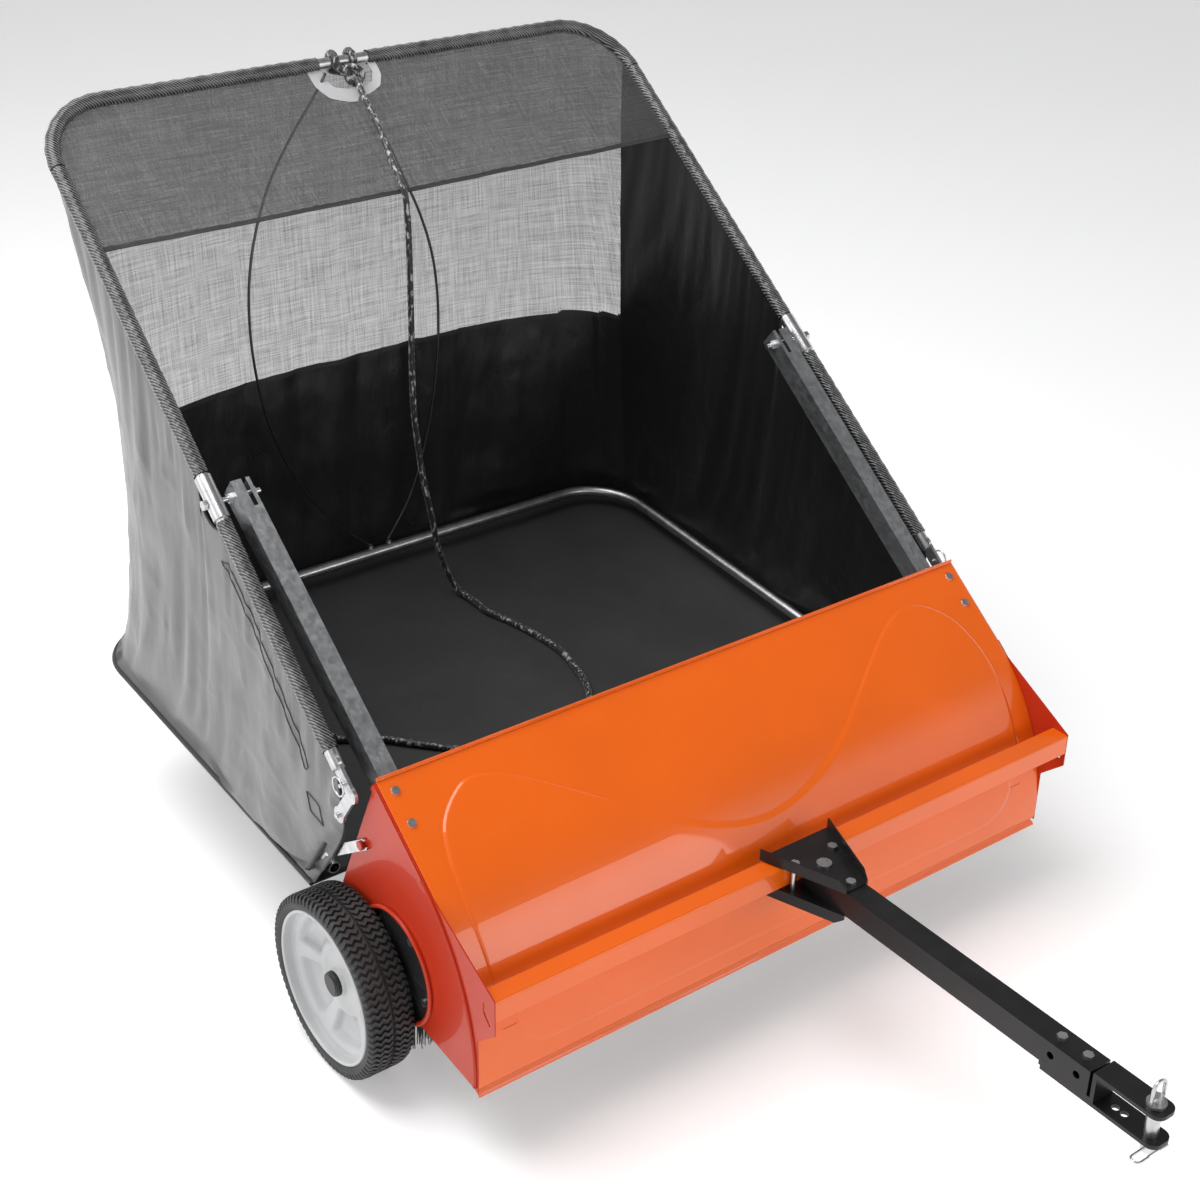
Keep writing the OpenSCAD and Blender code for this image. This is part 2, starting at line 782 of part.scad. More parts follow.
module tube_couplers() {
    color("silver") from_axle() both_sides() difference() {
        mouth_plane() difference() {
            rod([mouth_half_at(coupler_up), coupler_up, 0],
                [mouth_half_at(-coupler_down), -coupler_down, 0], coupler_r);
            rod([mouth_half_at(coupler_up + 2), coupler_up + 2, 0],
                [mouth_half_at(-coupler_down - 2), -coupler_down - 2, 0], tube_r + eps);
        }
        x_rod(mouth_half - 20, mouth_half + 20, pivot_y, pivot_z, bolt_r + fit);
    }
}

module lower_half_tube(front) {
    c = [lower_half - corner_r, -corner_r];
    h = lower_lift;
    pipe([lower_half, front, h], [lower_half, c.y, h], tube_r, 1.5);
    translate([c.x, c.y, h]) rotate_extrude(angle = 90, $fn = 96)
        translate([corner_r, 0]) ring_2d(tube_r, 1.5);
    pipe([0, 0, h], [c.x, 0, h], tube_r, 1.5);
}

module lower_tube() {
    front = (lower_front - floor_y) / cos(floor_slope);
    color([0.75, 0.76, 0.78]) from_axle() floor_plane() both_sides() lower_half_tube(front);
}

module front_struts() {
    color([0.2, 0.2, 0.2]) from_axle() both_sides() {
        rod([554, strut_top.x, strut_top.y], [554, strut_low.x, strut_low.y], 3.9);
        x_rod(552, 568, strut_top.x, strut_top.y, bolt_r);
        x_rod(lower_half + tube_r + 0.1, 556, strut_low.x, strut_low.y, bolt_r);
    }
}

// Flat hooks that rest on the housing's stop pins and let go as the hopper tips
module hook_links() {
    back = [112, 279];
    dir = (stop_pin - back) / norm(stop_pin - back);
    slot = bolt_r + 0.6;
    color("silver") from_axle() both_sides()
        across(half_w + 1.6, half_w + 4.6) difference() {
            link_2d(back, stop_pin + 8 * dir, 16, 17);
            link_2d(stop_pin, stop_pin + 40 * dir, 2 * slot - 0.2, 2 * slot);
        }
}

module strut_clips() {
    x = mouth_half_at(tube_low) + 2.5;
    color("silver") from_axle() both_sides() {
        x_rod(x - 9, x + 8, clip_at.x, clip_at.y, 3);
        translate([x + 9.5, clip_at.x, clip_at.y]) rotate([0, 90, 0])
            rotate_extrude() translate([14, 0]) circle(r = 1.5);
    }
}

// Two spring rods that hold the back wall out
module bow_rods() {
    top = [0, 886, 1146];
    foot = [0, 857, 297];
    chord = norm(foot - top);
    bulge = 152;
    r = (chord * chord / 4 + bulge * bulge) / (2 * bulge);
    half_a = asin(chord / 2 / r);
    color([0.25, 0.25, 0.27]) from_axle() both_sides()
        translate([29, (top.y + foot.y) / 2, (top.z + foot.z) / 2])
            rotate([atan2(top.z - foot.z, top.y - foot.y) - 90, 0, 0])
                translate([bulge - r, 0, 0]) rotate([90, 0, 0]) rotate([0, 0, -half_a])
                    rotate_extrude(angle = 2 * half_a, $fn = 160)
                        translate([r, 0]) circle(r = 2.5);
}

// ---- Hopper bag ----------------------------------------------------------------------

// Plan of the bag's outside: square in front, round corners at the back
module bag_plan(half, front, rear, r) {
    translate([-half, front]) square([2 * half, rear - r - front]);
    translate([-half + r, front]) square([2 * (half - r), rear - front]);
    for (s = [-1, 1]) translate([s * (half - r), rear - r]) circle(r = r, $fn = 96);
}

module bag_floor() {
    front = (floor_front - floor_y) / cos(floor_slope);
    rear = (floor_rear - floor_y) / cos(floor_slope);
    color([0.22, 0.22, 0.23]) from_axle() floor_plane()
        translate([0, 0, -floor_t]) linear_extrude(floor_t)
            bag_plan(floor_half, front, rear, 100);
}

// Side view of the bag, inside the frame tubes and above the floor
module bag_profile() {
    gap = 24;
    polygon([
        [166, floor_top(166) + 4], [bag_rear + 1, floor_top(bag_rear) + 4],
        [bag_rear + 1, mouth_z(bag_rear) - gap], [44, mouth_z(44) - gap], [62, 400]
    ]);
}

module bag_wall() {
    intersection() {
        across(-bag_half - 1, bag_half + 1) bag_profile();
        linear_extrude(1300) difference() {
            bag_plan(bag_half, 20, bag_rear, bag_r);
            bag_plan(bag_half - bag_t, 10, bag_rear - bag_t, bag_r - bag_t);
        }
    }
}

module bag_side(side) {
    color([0.4, 0.4, 0.41]) from_axle() on_side(side) intersection() {
        bag_wall();
        translate([100, 0, 0]) cube([600, bag_rear - bag_r, 1400]);
    }
}

module bag_rear_skirt() {
    color([0.12, 0.12, 0.12]) from_axle() intersection() {
        bag_wall();
        translate([-700, bag_rear - bag_r + 0.4, 0]) cube([1400, 400, seam_z]);
    }
}

module bag_rear_mesh() {
    color([0.5, 0.5, 0.51]) from_axle() intersection() {
        bag_wall();
        translate([-700, bag_rear - bag_r + 0.4, seam_z + 0.4]) cube([1400, 400, 800]);
    }
}

module bag_hood() {
    low = (seam_y - pivot_y) / cos(mouth_slope);
    high = mouth_up - sleeve_r - 0.5;
    side_gap = sleeve_r + 0.5;
    r = corner_r - side_gap;
    w_low = mouth_half_at(low) - side_gap;
    w_high = mouth_half_at(high - r) - side_gap - 0.5;
    color([0.3, 0.3, 0.31]) from_axle() mouth_plane() translate([0, 0, -1]) linear_extrude(2)
        difference() {
            union() {
                polygon([[-w_low, low], [w_low, low], [w_high, high - r], [-w_high, high - r]]);
                translate([-w_high + r, low]) square([2 * (w_high - r), high - low]);
                for (s = [-1, 1]) translate([s * (w_high - r), high - r]) circle(r = r, $fn = 96);
            }
            translate([-notch_half, high - 48]) square([2 * notch_half, 60]);
        }
}

// Hems that the frame tubes run in, left bare round the rope and at the couplers
module tube_sleeves() {
    wall = sleeve_r - tube_r - 0.1;
    color([0.1, 0.1, 0.1]) from_axle() mouth_plane() both_sides() {
        upper_half(sleeve_r, wall, coupler_up + 3, bare_half);
        pipe([mouth_half_at(-coupler_down - 3), -coupler_down - 3, 0],
            [mouth_half_at(-402), -402, 0], sleeve_r, wall);
    }
}

// ---- Pull rope -----------------------------------------------------------------------

// Point on a smooth curve through the four points round it, as t goes from 0 to 1
function spline(a, b, c, d, t) =
    b + 0.5 * t * ((c - a) + t * ((2 * a - 5 * b + 4 * c - d) + t * (3 * (b - c) + d - a)));

function smooth(p, steps) = [
    for (i = [0 : len(p) - 2], k = [0 : steps - 1])
        spline(p[max(i - 1, 0)], p[i], p[i + 1], p[min(i + 2, len(p) - 1)], k / steps),
    p[len(p) - 1]
];

function unit(v) = v / norm(v);
function tangent(p, i) = unit(p[min(i + 1, len(p) - 1)] - p[max(i - 1, 0)]);

// Carries one ring direction along the curve without twisting it
function carried(p, i = 0, n = undef) =
    let (
        t = tangent(p, i),
        seed = is_undef(n) ? [0, 1, 0.01] : n,
        side = unit(seed - (seed * t) * t)
    )
    i == len(p) - 1 ? [side] : concat([side], carried(p, i + 1, side));

// A round tube of radius r swept along the points p
module swept(p, r, sides) {
    side = carried(p);
    rings = len(p);
    points = [
        for (i = [0 : rings - 1], k = [0 : sides - 1])
            let (up = cross(tangent(p, i), side[i]), a = 360 * k / sides)
            p[i] + r * (cos(a) * side[i] + sin(a) * up)
    ];
    walls = [
        for (i = [0 : rings - 2], k = [0 : sides - 1])
            let (n = (k + 1) % sides)
            each [
                [i * sides + k, i * sides + n, (i + 1) * sides + k],
                [i * sides + n, (i + 1) * sides + n, (i + 1) * sides + k]
            ]
    ];
    caps = [
        for (k = [1 : sides - 2])
            each [
                [0, k + 1, k],
                [(rings - 1) * sides, (rings - 1) * sides + k, (rings - 1) * sides + k + 1]
            ]
    ];
    polyhedron(points = points, faces = [for (f = concat(walls, caps)) [f[2], f[1], f[0]]]);
}

module rope() {
    color([0.05, 0.05, 0.05]) from_axle() swept(smooth(rope_points, rope_steps), rope_r, 10);
}

// Turns round the bare middle of the top bar and the knot in front of them
module rope_hitch() {
    ring = tube_r + rope_r;
    start = rope_points[0];
    color([0.05, 0.05, 0.05]) from_axle() {
        mouth_plane() for (x = [-14, 0, 14]) translate([x, mouth_up, 0]) rotate([0, 90, 0])
            rotate_extrude() translate([ring, 0]) circle(r = rope_r - 0.1);
        translate(start + [-1, 10, 10]) sphere(r = 11.5);
    }
}

module rope_end_knot() {
    end = rope_points[len(rope_points) - 1];
    color([0.05, 0.05, 0.05]) from_axle() translate(end + [-10, 5, 6]) sphere(r = 11);
}

housing_shell();
side_plate(1);  // side_plate_left
side_plate(-1);  // side_plate_right
cross_bar();
cover_bolts();
arm_brackets();
arm(1);  // arm_left
arm(-1);  // arm_right
arm_bolts();
pivot_bolts();
pivot_nuts();
bearing_plate(1);  // bearing_plate_left
bearing_plate(-1);  // bearing_plate_right
bearing_screws();
brush_bushes();
stub_axles();
axle_nuts();
tongue_tube();
hitch_bracket_top();
hitch_bracket_bottom();
bracket_bolts();
tongue_bolts();
clevis_strap_top();
clevis_strap_bottom();
tyre(1);  // tyre_left
rim(1);  // rim_left
ring_gear(1);  // ring_gear_left
hub_cap(1);  // hub_cap_left
tyre(-1);  // tyre_right
rim(-1);  // rim_right
ring_gear(-1);  // ring_gear_right
hub_cap(-1);  // hub_cap_right
brush_shaft();
brush_hubs();
bristle_channels();
bristle_rows();
pinions();
hitch_pin();
pin_ring();
hairpin();
upper_tube();
side_tube(1);  // side_tube_left
side_tube(-1);  // side_tube_right
tube_couplers();
lower_tube();
front_struts();
hook_links();
strut_clips();
bow_rods();
bag_floor();
bag_side(1);  // bag_side_left
bag_side(-1);  // bag_side_right
bag_rear_skirt();
bag_rear_mesh();
bag_hood();
tube_sleeves();
rope();
rope_hitch();
rope_end_knot();
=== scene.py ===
import json
import math

import bmesh
import bpy
import numpy as np
from mathutils import Matrix, Vector


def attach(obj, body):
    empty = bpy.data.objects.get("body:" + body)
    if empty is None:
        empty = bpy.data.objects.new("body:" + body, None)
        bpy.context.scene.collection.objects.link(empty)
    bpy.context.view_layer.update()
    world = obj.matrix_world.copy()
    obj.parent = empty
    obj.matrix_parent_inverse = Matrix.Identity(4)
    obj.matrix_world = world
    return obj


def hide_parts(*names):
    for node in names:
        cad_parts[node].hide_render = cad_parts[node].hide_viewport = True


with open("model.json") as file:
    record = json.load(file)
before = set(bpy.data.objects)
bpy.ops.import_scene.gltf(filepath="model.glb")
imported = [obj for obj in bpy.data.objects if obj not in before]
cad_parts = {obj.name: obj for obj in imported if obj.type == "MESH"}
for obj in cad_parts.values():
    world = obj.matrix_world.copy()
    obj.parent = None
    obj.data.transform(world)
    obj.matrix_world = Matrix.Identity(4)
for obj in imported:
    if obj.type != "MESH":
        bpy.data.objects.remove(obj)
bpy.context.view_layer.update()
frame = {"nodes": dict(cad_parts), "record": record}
NODES = frame["nodes"]

# Where the wheel axle lies behind the row frame's origin, in metres
AXLE_Y = 0.0231
# The hopper's pivot, the slope of its mouth, and how far up the mouth from the pivot its top bar lies, in mm
PIVOT_Y, PIVOT_Z = 361.5, 740
TILT = math.radians(38)
TOP_V = 697
# The middle of a wheel, in mm
WHEEL_X, WHEEL_Z = 586.0, 140


def V(x, y, z):
    """A point given in mm about the wheel axle's ground point, in the row frame in metres."""
    return Vector((x / 1000, y / 1000 + AXLE_Y, z / 1000))


def rows(a):
    """An array of such points, in the row frame."""
    a = np.asarray(a, float) / 1000
    a[..., 1] += AXLE_Y
    return a


# -------- camera
def make_camera():
    """The view from the machine's front right, above."""
    az, el, roll = (math.radians(a) for a in (-37.456, 29.02, 1.18))
    back = Vector((math.sin(az) * math.cos(el), -math.cos(az) * math.cos(el), math.sin(el)))
    right = Vector((math.cos(az), math.sin(az), 0))
    up = back.cross(right)
    r = right * math.cos(roll) + up * math.sin(roll)
    u = -right * math.sin(roll) + up * math.cos(roll)
    data = bpy.data.cameras.new("camera")
    data.lens = 60.64
    data.sensor_width = 36
    data.clip_start = 0.05
    data.clip_end = 60
    cam = bpy.data.objects.new("camera", data)
    bpy.context.scene.collection.objects.link(cam)
    m = Matrix((r, u, back)).transposed().to_4x4()
    m.translation = V(-1670.6, -1998.6, 2022.2)
    cam.matrix_world = m
    bpy.context.scene.camera = cam


make_camera()
bpy.context.scene.view_settings.view_transform = "Standard"


# -------- mesh helpers
def obj_from(name, verts, faces, mat, body, smooth=True):
    me = bpy.data.meshes.new(name)
    me.from_pydata([tuple(v) for v in verts], [], [tuple(int(i) for i in f) for f in faces])
    me.update()
    ob = bpy.data.objects.new(name, me)
    bpy.context.scene.collection.objects.link(ob)
    me.materials.append(mat)
    if smooth:
        me.polygons.foreach_set("use_smooth", [True] * len(me.polygons))
    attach(ob, body)
    return ob


def grid_faces(nu, nv, close_u=False, close_v=False, flip=False):
    f = []
    for i in range(nu if close_u else nu - 1):
        for j in range(nv if close_v else nv - 1):
            a, b = i * nv + j, ((i + 1) % nu) * nv + j
            c, d = ((i + 1) % nu) * nv + (j + 1) % nv, i * nv + (j + 1) % nv
            f.append((a, d, c, b) if flip else (a, b, c, d))
    return f


def grid(name, P, mat, body, close_u=False, close_v=False, flip=False):
    nu, nv = P.shape[:2]
    return obj_from(name, P.reshape(-1, 3), grid_faces(nu, nv, close_u, close_v, flip), mat, body)


def resample(pts, step):
    """Points a fixed step apart along a polyline."""
    p = np.asarray(pts, float)
    s = np.r_[0, np.cumsum(np.linalg.norm(np.diff(p, axis=0), axis=1))]
    n = max(2, int(round(s[-1] / step)) + 1)
    t = np.linspace(0, s[-1], n)
    return np.stack([np.interp(t, s, p[:, k]) for k in range(3)], 1)


def catmull(pts, steps, closed=False):
    p = np.asarray(pts, float)
    n = len(p)
    out = []
    for i in range(n if closed else n - 1):
        if closed:
            a, b, c, d = (p[(i + k) % n] for k in (-1, 0, 1, 2))
        else:
            a, b, c, d = p[max(i - 1, 0)], p[i], p[i + 1], p[min(i + 2, n - 1)]
        for k in range(steps):
            t = k / steps
            cubic = t * (3 * (b - c) + d - a)
            out.append(b + 0.5 * t * ((c - a) + t * ((2 * a - 5 * b + 4 * c - d) + cubic)))
    if not closed:
        out.append(p[-1])
    return np.array(out)


def frames(p, closed=False):
    """Tangents and two normals carried along a path."""
    n = len(p)
    t = np.roll(p, -1, 0) - np.roll(p, 1, 0)
    if not closed:
        t[0], t[-1] = p[1] - p[0], p[-1] - p[-2]
    t /= np.linalg.norm(t, axis=1)[:, None]
    side = np.zeros_like(p)
    s = np.array([0.0, 1.0, 0.013])
    for i in range(n):
        s = s - s.dot(t[i]) * t[i]
        s /= np.linalg.norm(s)
        side[i] = s
    return t, side, np.cross(t, side)


def tube(name, path, radius, mat, body, sides=10, closed=False, caps=True, relief=None):
    """A round tube along a path; relief(theta, distance) scales its radius."""
    p = np.asarray(path, float)
    t, a, b = frames(p, closed)
    # on a closed loop the leftover twist is spread round it
    twist = math.atan2(a[0].dot(b[-1]), a[0].dot(a[-1])) if closed else 0.0
    s = np.r_[0, np.cumsum(np.linalg.norm(np.diff(p, axis=0), axis=1))]
    th = np.linspace(0, 2 * math.pi, sides, endpoint=False)
    verts = np.zeros((len(p), sides, 3))
    for i in range(len(p)):
        ang = th + twist * i / max(1, len(p))
        rad = radius if np.isscalar(radius) else radius[i]
        k = rad * (relief(th, s[i]) if relief else np.ones(sides))
        verts[i] = p[i] + (np.cos(ang) * k)[:, None] * a[i] + (np.sin(ang) * k)[:, None] * b[i]
    faces = grid_faces(len(p), sides, closed, True, flip=True)
    if caps and not closed:
        faces.append(tuple(range(sides)))
        faces.append(tuple((len(p) - 1) * sides + k for k in reversed(range(sides))))
    return obj_from(name, verts.reshape(-1, 3), faces, mat, body)


def join(name, obs):
    bpy.ops.object.select_all(action="DESELECT")
    for o in obs:
        o.select_set(True)
    bpy.context.view_layer.objects.active = obs[0]
    bpy.ops.object.join()
    obs[0].name = name
    return obs[0]


# -------- materials
class Mat:
    """A Principled material with object-space procedural detail."""

    def __init__(self, name, color, rough=0.5, metal=0.0, **sockets):
        self.m = bpy.data.materials.new(name)
        self.m.use_nodes = True
        self.t = self.m.node_tree
        self.p = self.t.nodes["Principled BSDF"]
        self.p.inputs["Base Color"].default_value = (*color, 1)
        self.p.inputs["Roughness"].default_value = rough
        self.p.inputs["Metallic"].default_value = metal
        for k, v in sockets.items():
            self.p.inputs[k.replace("_", " ")].default_value = v
        self.color, self.rough = color, rough
        self.m.diffuse_color = (*color, 1)

    def new(self, kind, **values):
        n = self.t.nodes.new(kind)
        for k, v in values.items():
            if hasattr(n, k):
                setattr(n, k, v)
            else:
                n.inputs[k.replace("_", " ")].default_value = v
        return n

    def link(self, a, b):
        self.t.links.new(a, b)

    def coords(self, scale=(1, 1, 1), rotate=(0, 0, 0)):
        c = self.new("ShaderNodeTexCoord")
        m = self.new("ShaderNodeMapping")
        m.inputs["Scale"].default_value = scale
        m.inputs["Rotation"].default_value = rotate
        self.link(c.outputs["Object"], m.inputs["Vector"])
        return m.outputs["Vector"]

    def noise(self, scale, detail=3, vec=None, rough=0.5):
        n = self.new("ShaderNodeTexNoise", Scale=scale, Detail=detail, Roughness=rough)
        self.link(vec or self.coords(), n.inputs["Vector"])
        return n.outputs["Fac"]

    def wave(self, scale, vec=None, direction="X", distortion=0.0):
        n = self.new("ShaderNodeTexWave", Scale=scale, Distortion=distortion)
        n.bands_direction = direction
        self.link(vec or self.coords(), n.inputs["Vector"])
        return n.outputs["Fac"]

    def ramp(self, fac, a, b, lo=0.3, hi=0.7):
        r = self.new("ShaderNodeValToRGB")
        e = r.color_ramp.elements
        e[0].position, e[1].position = lo, hi
        e[0].color, e[1].color = (*a, 1), (*b, 1)
        self.link(fac, r.inputs["Fac"])
        return r.outputs["Color"]

    def math(self, op, a, b):
        n = self.new("ShaderNodeMath")
        n.operation = op
        for i, x in enumerate((a, b)):
            if isinstance(x, (int, float)):
                n.inputs[i].default_value = x
            else:
                self.link(x, n.inputs[i])
        return n.outputs[0]

    def vary(self, fac, amount=0.15, lo=0.3, hi=0.7):
        c = self.color
        a = tuple(max(0, x * (1 - amount)) for x in c)
        b = tuple(min(1, x * (1 + amount)) for x in c)
        self.link(self.ramp(fac, a, b, lo, hi), self.p.inputs["Base Color"])

    def roughen(self, fac, spread=0.1):
        r = self.new("ShaderNodeMapRange")
        r.inputs["To Min"].default_value = max(0, self.rough - spread)
        r.inputs["To Max"].default_value = min(1, self.rough + spread)
        self.link(fac, r.inputs["Value"])
        self.link(r.outputs["Result"], self.p.inputs["Roughness"])

    def bump(self, fac, strength=0.3, distance=0.0005):
        b = self.new("ShaderNodeBump")
        b.inputs["Strength"].default_value = strength
        b.inputs["Distance"].default_value = distance
        self.link(fac, b.inputs["Height"])
        if self.p.inputs["Normal"].is_linked:
            self.link(self.p.inputs["Normal"].links[0].from_socket, b.inputs["Normal"])
        self.link(b.outputs["Normal"], self.p.inputs["Normal"])


def paint(name, color, rough, coat, spec):
    """Glossy paint over sheet steel."""
    m = Mat(name, color, rough, Coat_Weight=coat, Coat_Roughness=0.03, Specular_IOR_Level=spec)
    m.vary(m.noise(5, 4), 0.045)
    m.roughen(m.noise(28, 5), 0.05)
    m.bump(m.noise(420, 2), 0.06, 0.0003)
    m.bump(m.noise(9, 2), 0.08, 0.002)
    return m.m


def black_paint():
    m = Mat("black_powder_coat", (0.007, 0.007, 0.008), 0.34, Coat_Weight=0.1, Coat_Roughness=0.2,
            Specular_IOR_Level=0.35)
    m.vary(m.noise(30, 4), 0.3)
    m.roughen(m.noise(40, 4), 0.08)
    m.bump(m.noise(700, 3), 0.25, 0.0004)
    return m.m


def metal(name, color, rough, spangle=0.0, grain=0.12):
    """Bare or plated metal, with crystals of zinc where spangle is over 0."""
    m = Mat(name, color, rough, 1.0)
    if spangle:
        v = m.new("ShaderNodeTexVoronoi", Scale=150.0)
        m.link(m.coords((1, 0.55, 1)), v.inputs["Vector"])
        m.vary(v.outputs["Color"], spangle, 0.2, 0.8)
        m.roughen(m.noise(90, 4), 0.14)
    else:
        m.vary(m.noise(60, 5), 0.16)
        m.roughen(m.noise(130, 5), 0.1)
    m.bump(m.noise(320, 3), grain, 0.0003)
    return m.m


def plastic(name, color, rough=0.5, grain=600):
    m = Mat(name, color, rough)
    m.vary(m.noise(14, 4), 0.07)
    m.roughen(m.noise(35, 4), 0.07)
    m.bump(m.noise(grain, 2), 0.15, 0.0003)
    return m.m


def rubber():
    m = Mat("tyre_rubber", (0.034, 0.034, 0.035), 0.58, Specular_IOR_Level=0.4)
    m.vary(m.noise(24, 5), 0.35)
    m.roughen(m.noise(50, 4), 0.1)
    m.bump(m.noise(500, 3), 0.25, 0.0005)
    return m.m


def vinyl(name, color, rough, sheen=0.15, weave=True, fold=0.0):
    """Coated cloth: a fine weave, and soft folds where fold is over 0."""
    m = Mat(name, color, rough, Sheen_Weight=sheen)
    m.vary(m.noise(7, 5), 0.2)
    m.roughen(m.noise(12, 4), 0.08)
    if weave:
        y, z, x = (m.wave(420, m.coords(), axis) for axis in "YZX")
        m.bump(m.math("ADD", m.math("ADD", y, z), x), 0.16, 0.0004)
    if fold:
        m.bump(m.noise(6.5, 4, m.coords((1.6, 1.6, 0.55))), fold, 0.02)
        m.bump(m.noise(26, 3, m.coords((1, 1, 0.5))), fold * 0.6, 0.006)
    return m.m


def sleeve_weave_painted_glints():
    """Tight glossy weave on the sleeves round the tubes, which breaks a highlight into flecks; the pale
    flecks in its colour are a painted highlight on the near-black cloth.
    """
    m = Mat("sleeve_weave_painted_glints", (0.020, 0.020, 0.021), 0.24, Coat_Weight=0.5, Coat_Roughness=0.18)
    a = m.wave(105, m.coords((1, 0.5, 1), (0.3, 0.2, 0.5)), "DIAGONAL", 1.2)
    k = m.math("MULTIPLY", a, m.math("ADD", m.noise(35, 3), 0.35))
    # painted highlight: the weave's flecks lightened from near black to pale grey in the base colour
    m.link(m.ramp(k, (0.012, 0.012, 0.013), (0.20, 0.20, 0.205), 0.45, 0.85), m.p.inputs["Base Color"])
    m.bump(a, 0.7, 0.0014)
    m.bump(m.noise(24, 3), 0.25, 0.003)
    return m.m


def mesh_fabric(name, color, cover, threads=230):
    """An open weave: see-through between its threads."""
    m = Mat(name, color, 0.6, Sheen_Weight=0.2)
    v = m.coords()
    a, b = m.wave(threads, v, "X"), m.wave(threads, v, "Z")
    w = m.math("MAXIMUM", a, b)
    r = m.new("ShaderNodeMapRange")
    limits = {"From Min": 0.25, "From Max": 0.95, "To Min": cover - 0.16, "To Max": min(1.0, cover + 0.12)}
    for socket, value in limits.items():
        r.inputs[socket].default_value = value
    m.link(w, r.inputs["Value"])
    # thick and thin threads both ways
    weft, warp = m.noise(1, 3, m.coords((14, 14, 460))), m.noise(1, 3, m.coords((460, 14, 14)))
    k = m.math("MULTIPLY", m.math("SUBTRACT", m.math("ADD", weft, warp), 1.0), 0.5)
    m.link(m.math("ADD", r.outputs["Result"], k), m.p.inputs["Alpha"])
    m.bump(w, 0.3, 0.0005)
    m.vary(m.noise(9, 4), 0.2)
    return m.m


def braid():
    m = Mat("braided_cord", (0.012, 0.012, 0.013), 0.42, Sheen_Weight=0.3)
    fleck = m.noise(1, 2, m.coords((190, 190, 75)))
    m.link(m.ramp(fleck, (0.008, 0.008, 0.009), (0.42, 0.42, 0.43), 0.54, 0.66), m.p.inputs["Base Color"])
    m.bump(m.noise(1100, 3), 0.5, 0.0006)
    return m.m


ORANGE = paint("orange_paint", (0.79, 0.120, 0.002), 0.36, 0.8, 0.25)
RED = paint("red_orange_paint", (0.47, 0.030, 0.008), 0.36, 0.3, 0.15)
BLACK = black_paint()
ZINC = metal("zinc_plate", (0.62, 0.62, 0.63), 0.3)
GALV = metal("galvanised_steel", (0.42, 0.43, 0.44), 0.42, 0.14)
TUBE = metal("bare_tube", (0.56, 0.56, 0.57), 0.33, 0.0, 0.2)
RUBBER = rubber()
RIM = plastic("rim_plastic", (0.50, 0.505, 0.51), 0.34)
BLACK_PLASTIC = plastic("black_plastic", (0.014, 0.014, 0.015), 0.42)
BRISTLE = plastic("bristle_nylon", (0.012, 0.012, 0.013), 0.5, 1500)
NYLON = plastic("bush_nylon", (0.55, 0.48, 0.3), 0.5)
# The outer face's grey is partly painted reflection of the bright studio, on a cloth that is black to dark
# grey like its lining.
SIDE_OUT = vinyl("side_fabric_painted_reflection", (0.088, 0.088, 0.09), 0.36, 0.25, True, 0.14)
SIDE_IN = vinyl("lining_black", (0.005, 0.005, 0.006), 0.30, 0.05, True, 0.28)
SKIRT = vinyl("skirt_black", (0.008, 0.008, 0.009), 0.30, 0.08, True, 0.3)
FLOOR = vinyl("floor_grey", (0.028, 0.028, 0.030), 0.55, 0.12, True, 0.12)
HEM = vinyl("hem_black", (0.012, 0.012, 0.013), 0.45, 0.15)
MESH = mesh_fabric("open_mesh", (0.04, 0.04, 0.042), 0.60)
HOOD = mesh_fabric("hood_mesh", (0.035, 0.035, 0.037), 0.72)
SLEEVE = sleeve_weave_painted_glints()
PATCH = vinyl("pale_patch", (0.45, 0.45, 0.46), 0.6, 0.2)
ROD = metal("dark_spring_steel", (0.10, 0.10, 0.11), 0.35)
CORD = braid()
THREAD = vinyl("stitch_thread", (0.05, 0.05, 0.052), 0.6, 0.0, False)

SLOTS = {
    "orange": ORANGE, "red_orange": RED, "zinc": ZINC, "galvanised": GALV, "black_paint": BLACK,
    "black_plastic": BLACK_PLASTIC, "bush_nylon": NYLON, "tyre": RUBBER, "rim_grey": RIM,
    "bristle": BRISTLE, "floor_vinyl": FLOOR, "side_fabric": HEM, "mesh": MESH, "cord": CORD,
}
for part in frame["record"]["subparts"]:
    o = NODES[part["node"]]
    mat = SLOTS[part["material_slot"]]
    if part["node"] in ("upper_tube", "lower_tube", "side_tube_left", "side_tube_right"):
        mat = TUBE
    o.data.materials.clear()
    o.data.materials.append(mat)


# -------- pull rope
ROPE_R = 5.5
BAR_Y = PIVOT_Y + TOP_V * math.cos(TILT)
BAR_Z = PIVOT_Z + TOP_V * math.sin(TILT)
# The route, as points in mm: the knot at the bar, the hood, a free drop, the floor, the end knot
ROPE = [
    [6, 874, 1148], [1, 849, 1131], [-1, 828, 1115], [-3, 801, 1094], [-9, 762, 1063],
    [-14, 729, 1038], [-18, 706, 1022], [-19, 696, 1012], [-19, 691, 999], [-18, 690, 980],
    [-16, 690, 920], [-16, 690, 800], [-17, 690, 650], [-9, 690, 553], [1, 690, 483],
    [12, 690, 429], [24, 692, 368], [40, 697, 316], [51, 699, 290], [59, 697, 270],
    [66, 688, 256], [71, 672, 250], [75, 640, 247], [76, 610, 244],
    [94, 562, 240], [109, 500, 235], [115, 440, 231], [107, 386, 226], [92, 335, 223],
    [60, 285, 219], [0, 250, 217], [-75, 240, 216], [-145, 265, 217], [-200, 309, 220],
    [-245, 353, 224], [-288, 395, 227], [-345, 426, 229]
]


def braid_relief(th, s, turns=4, pitch=0.024):
    """Strands of a round braid crossing each other."""
    k = 2 * math.pi * s / pitch
    a, b = np.abs(np.cos(turns / 2 * th + k)), np.abs(np.cos(turns / 2 * th - k))
    return 0.80 + 0.21 * np.maximum(a, b)


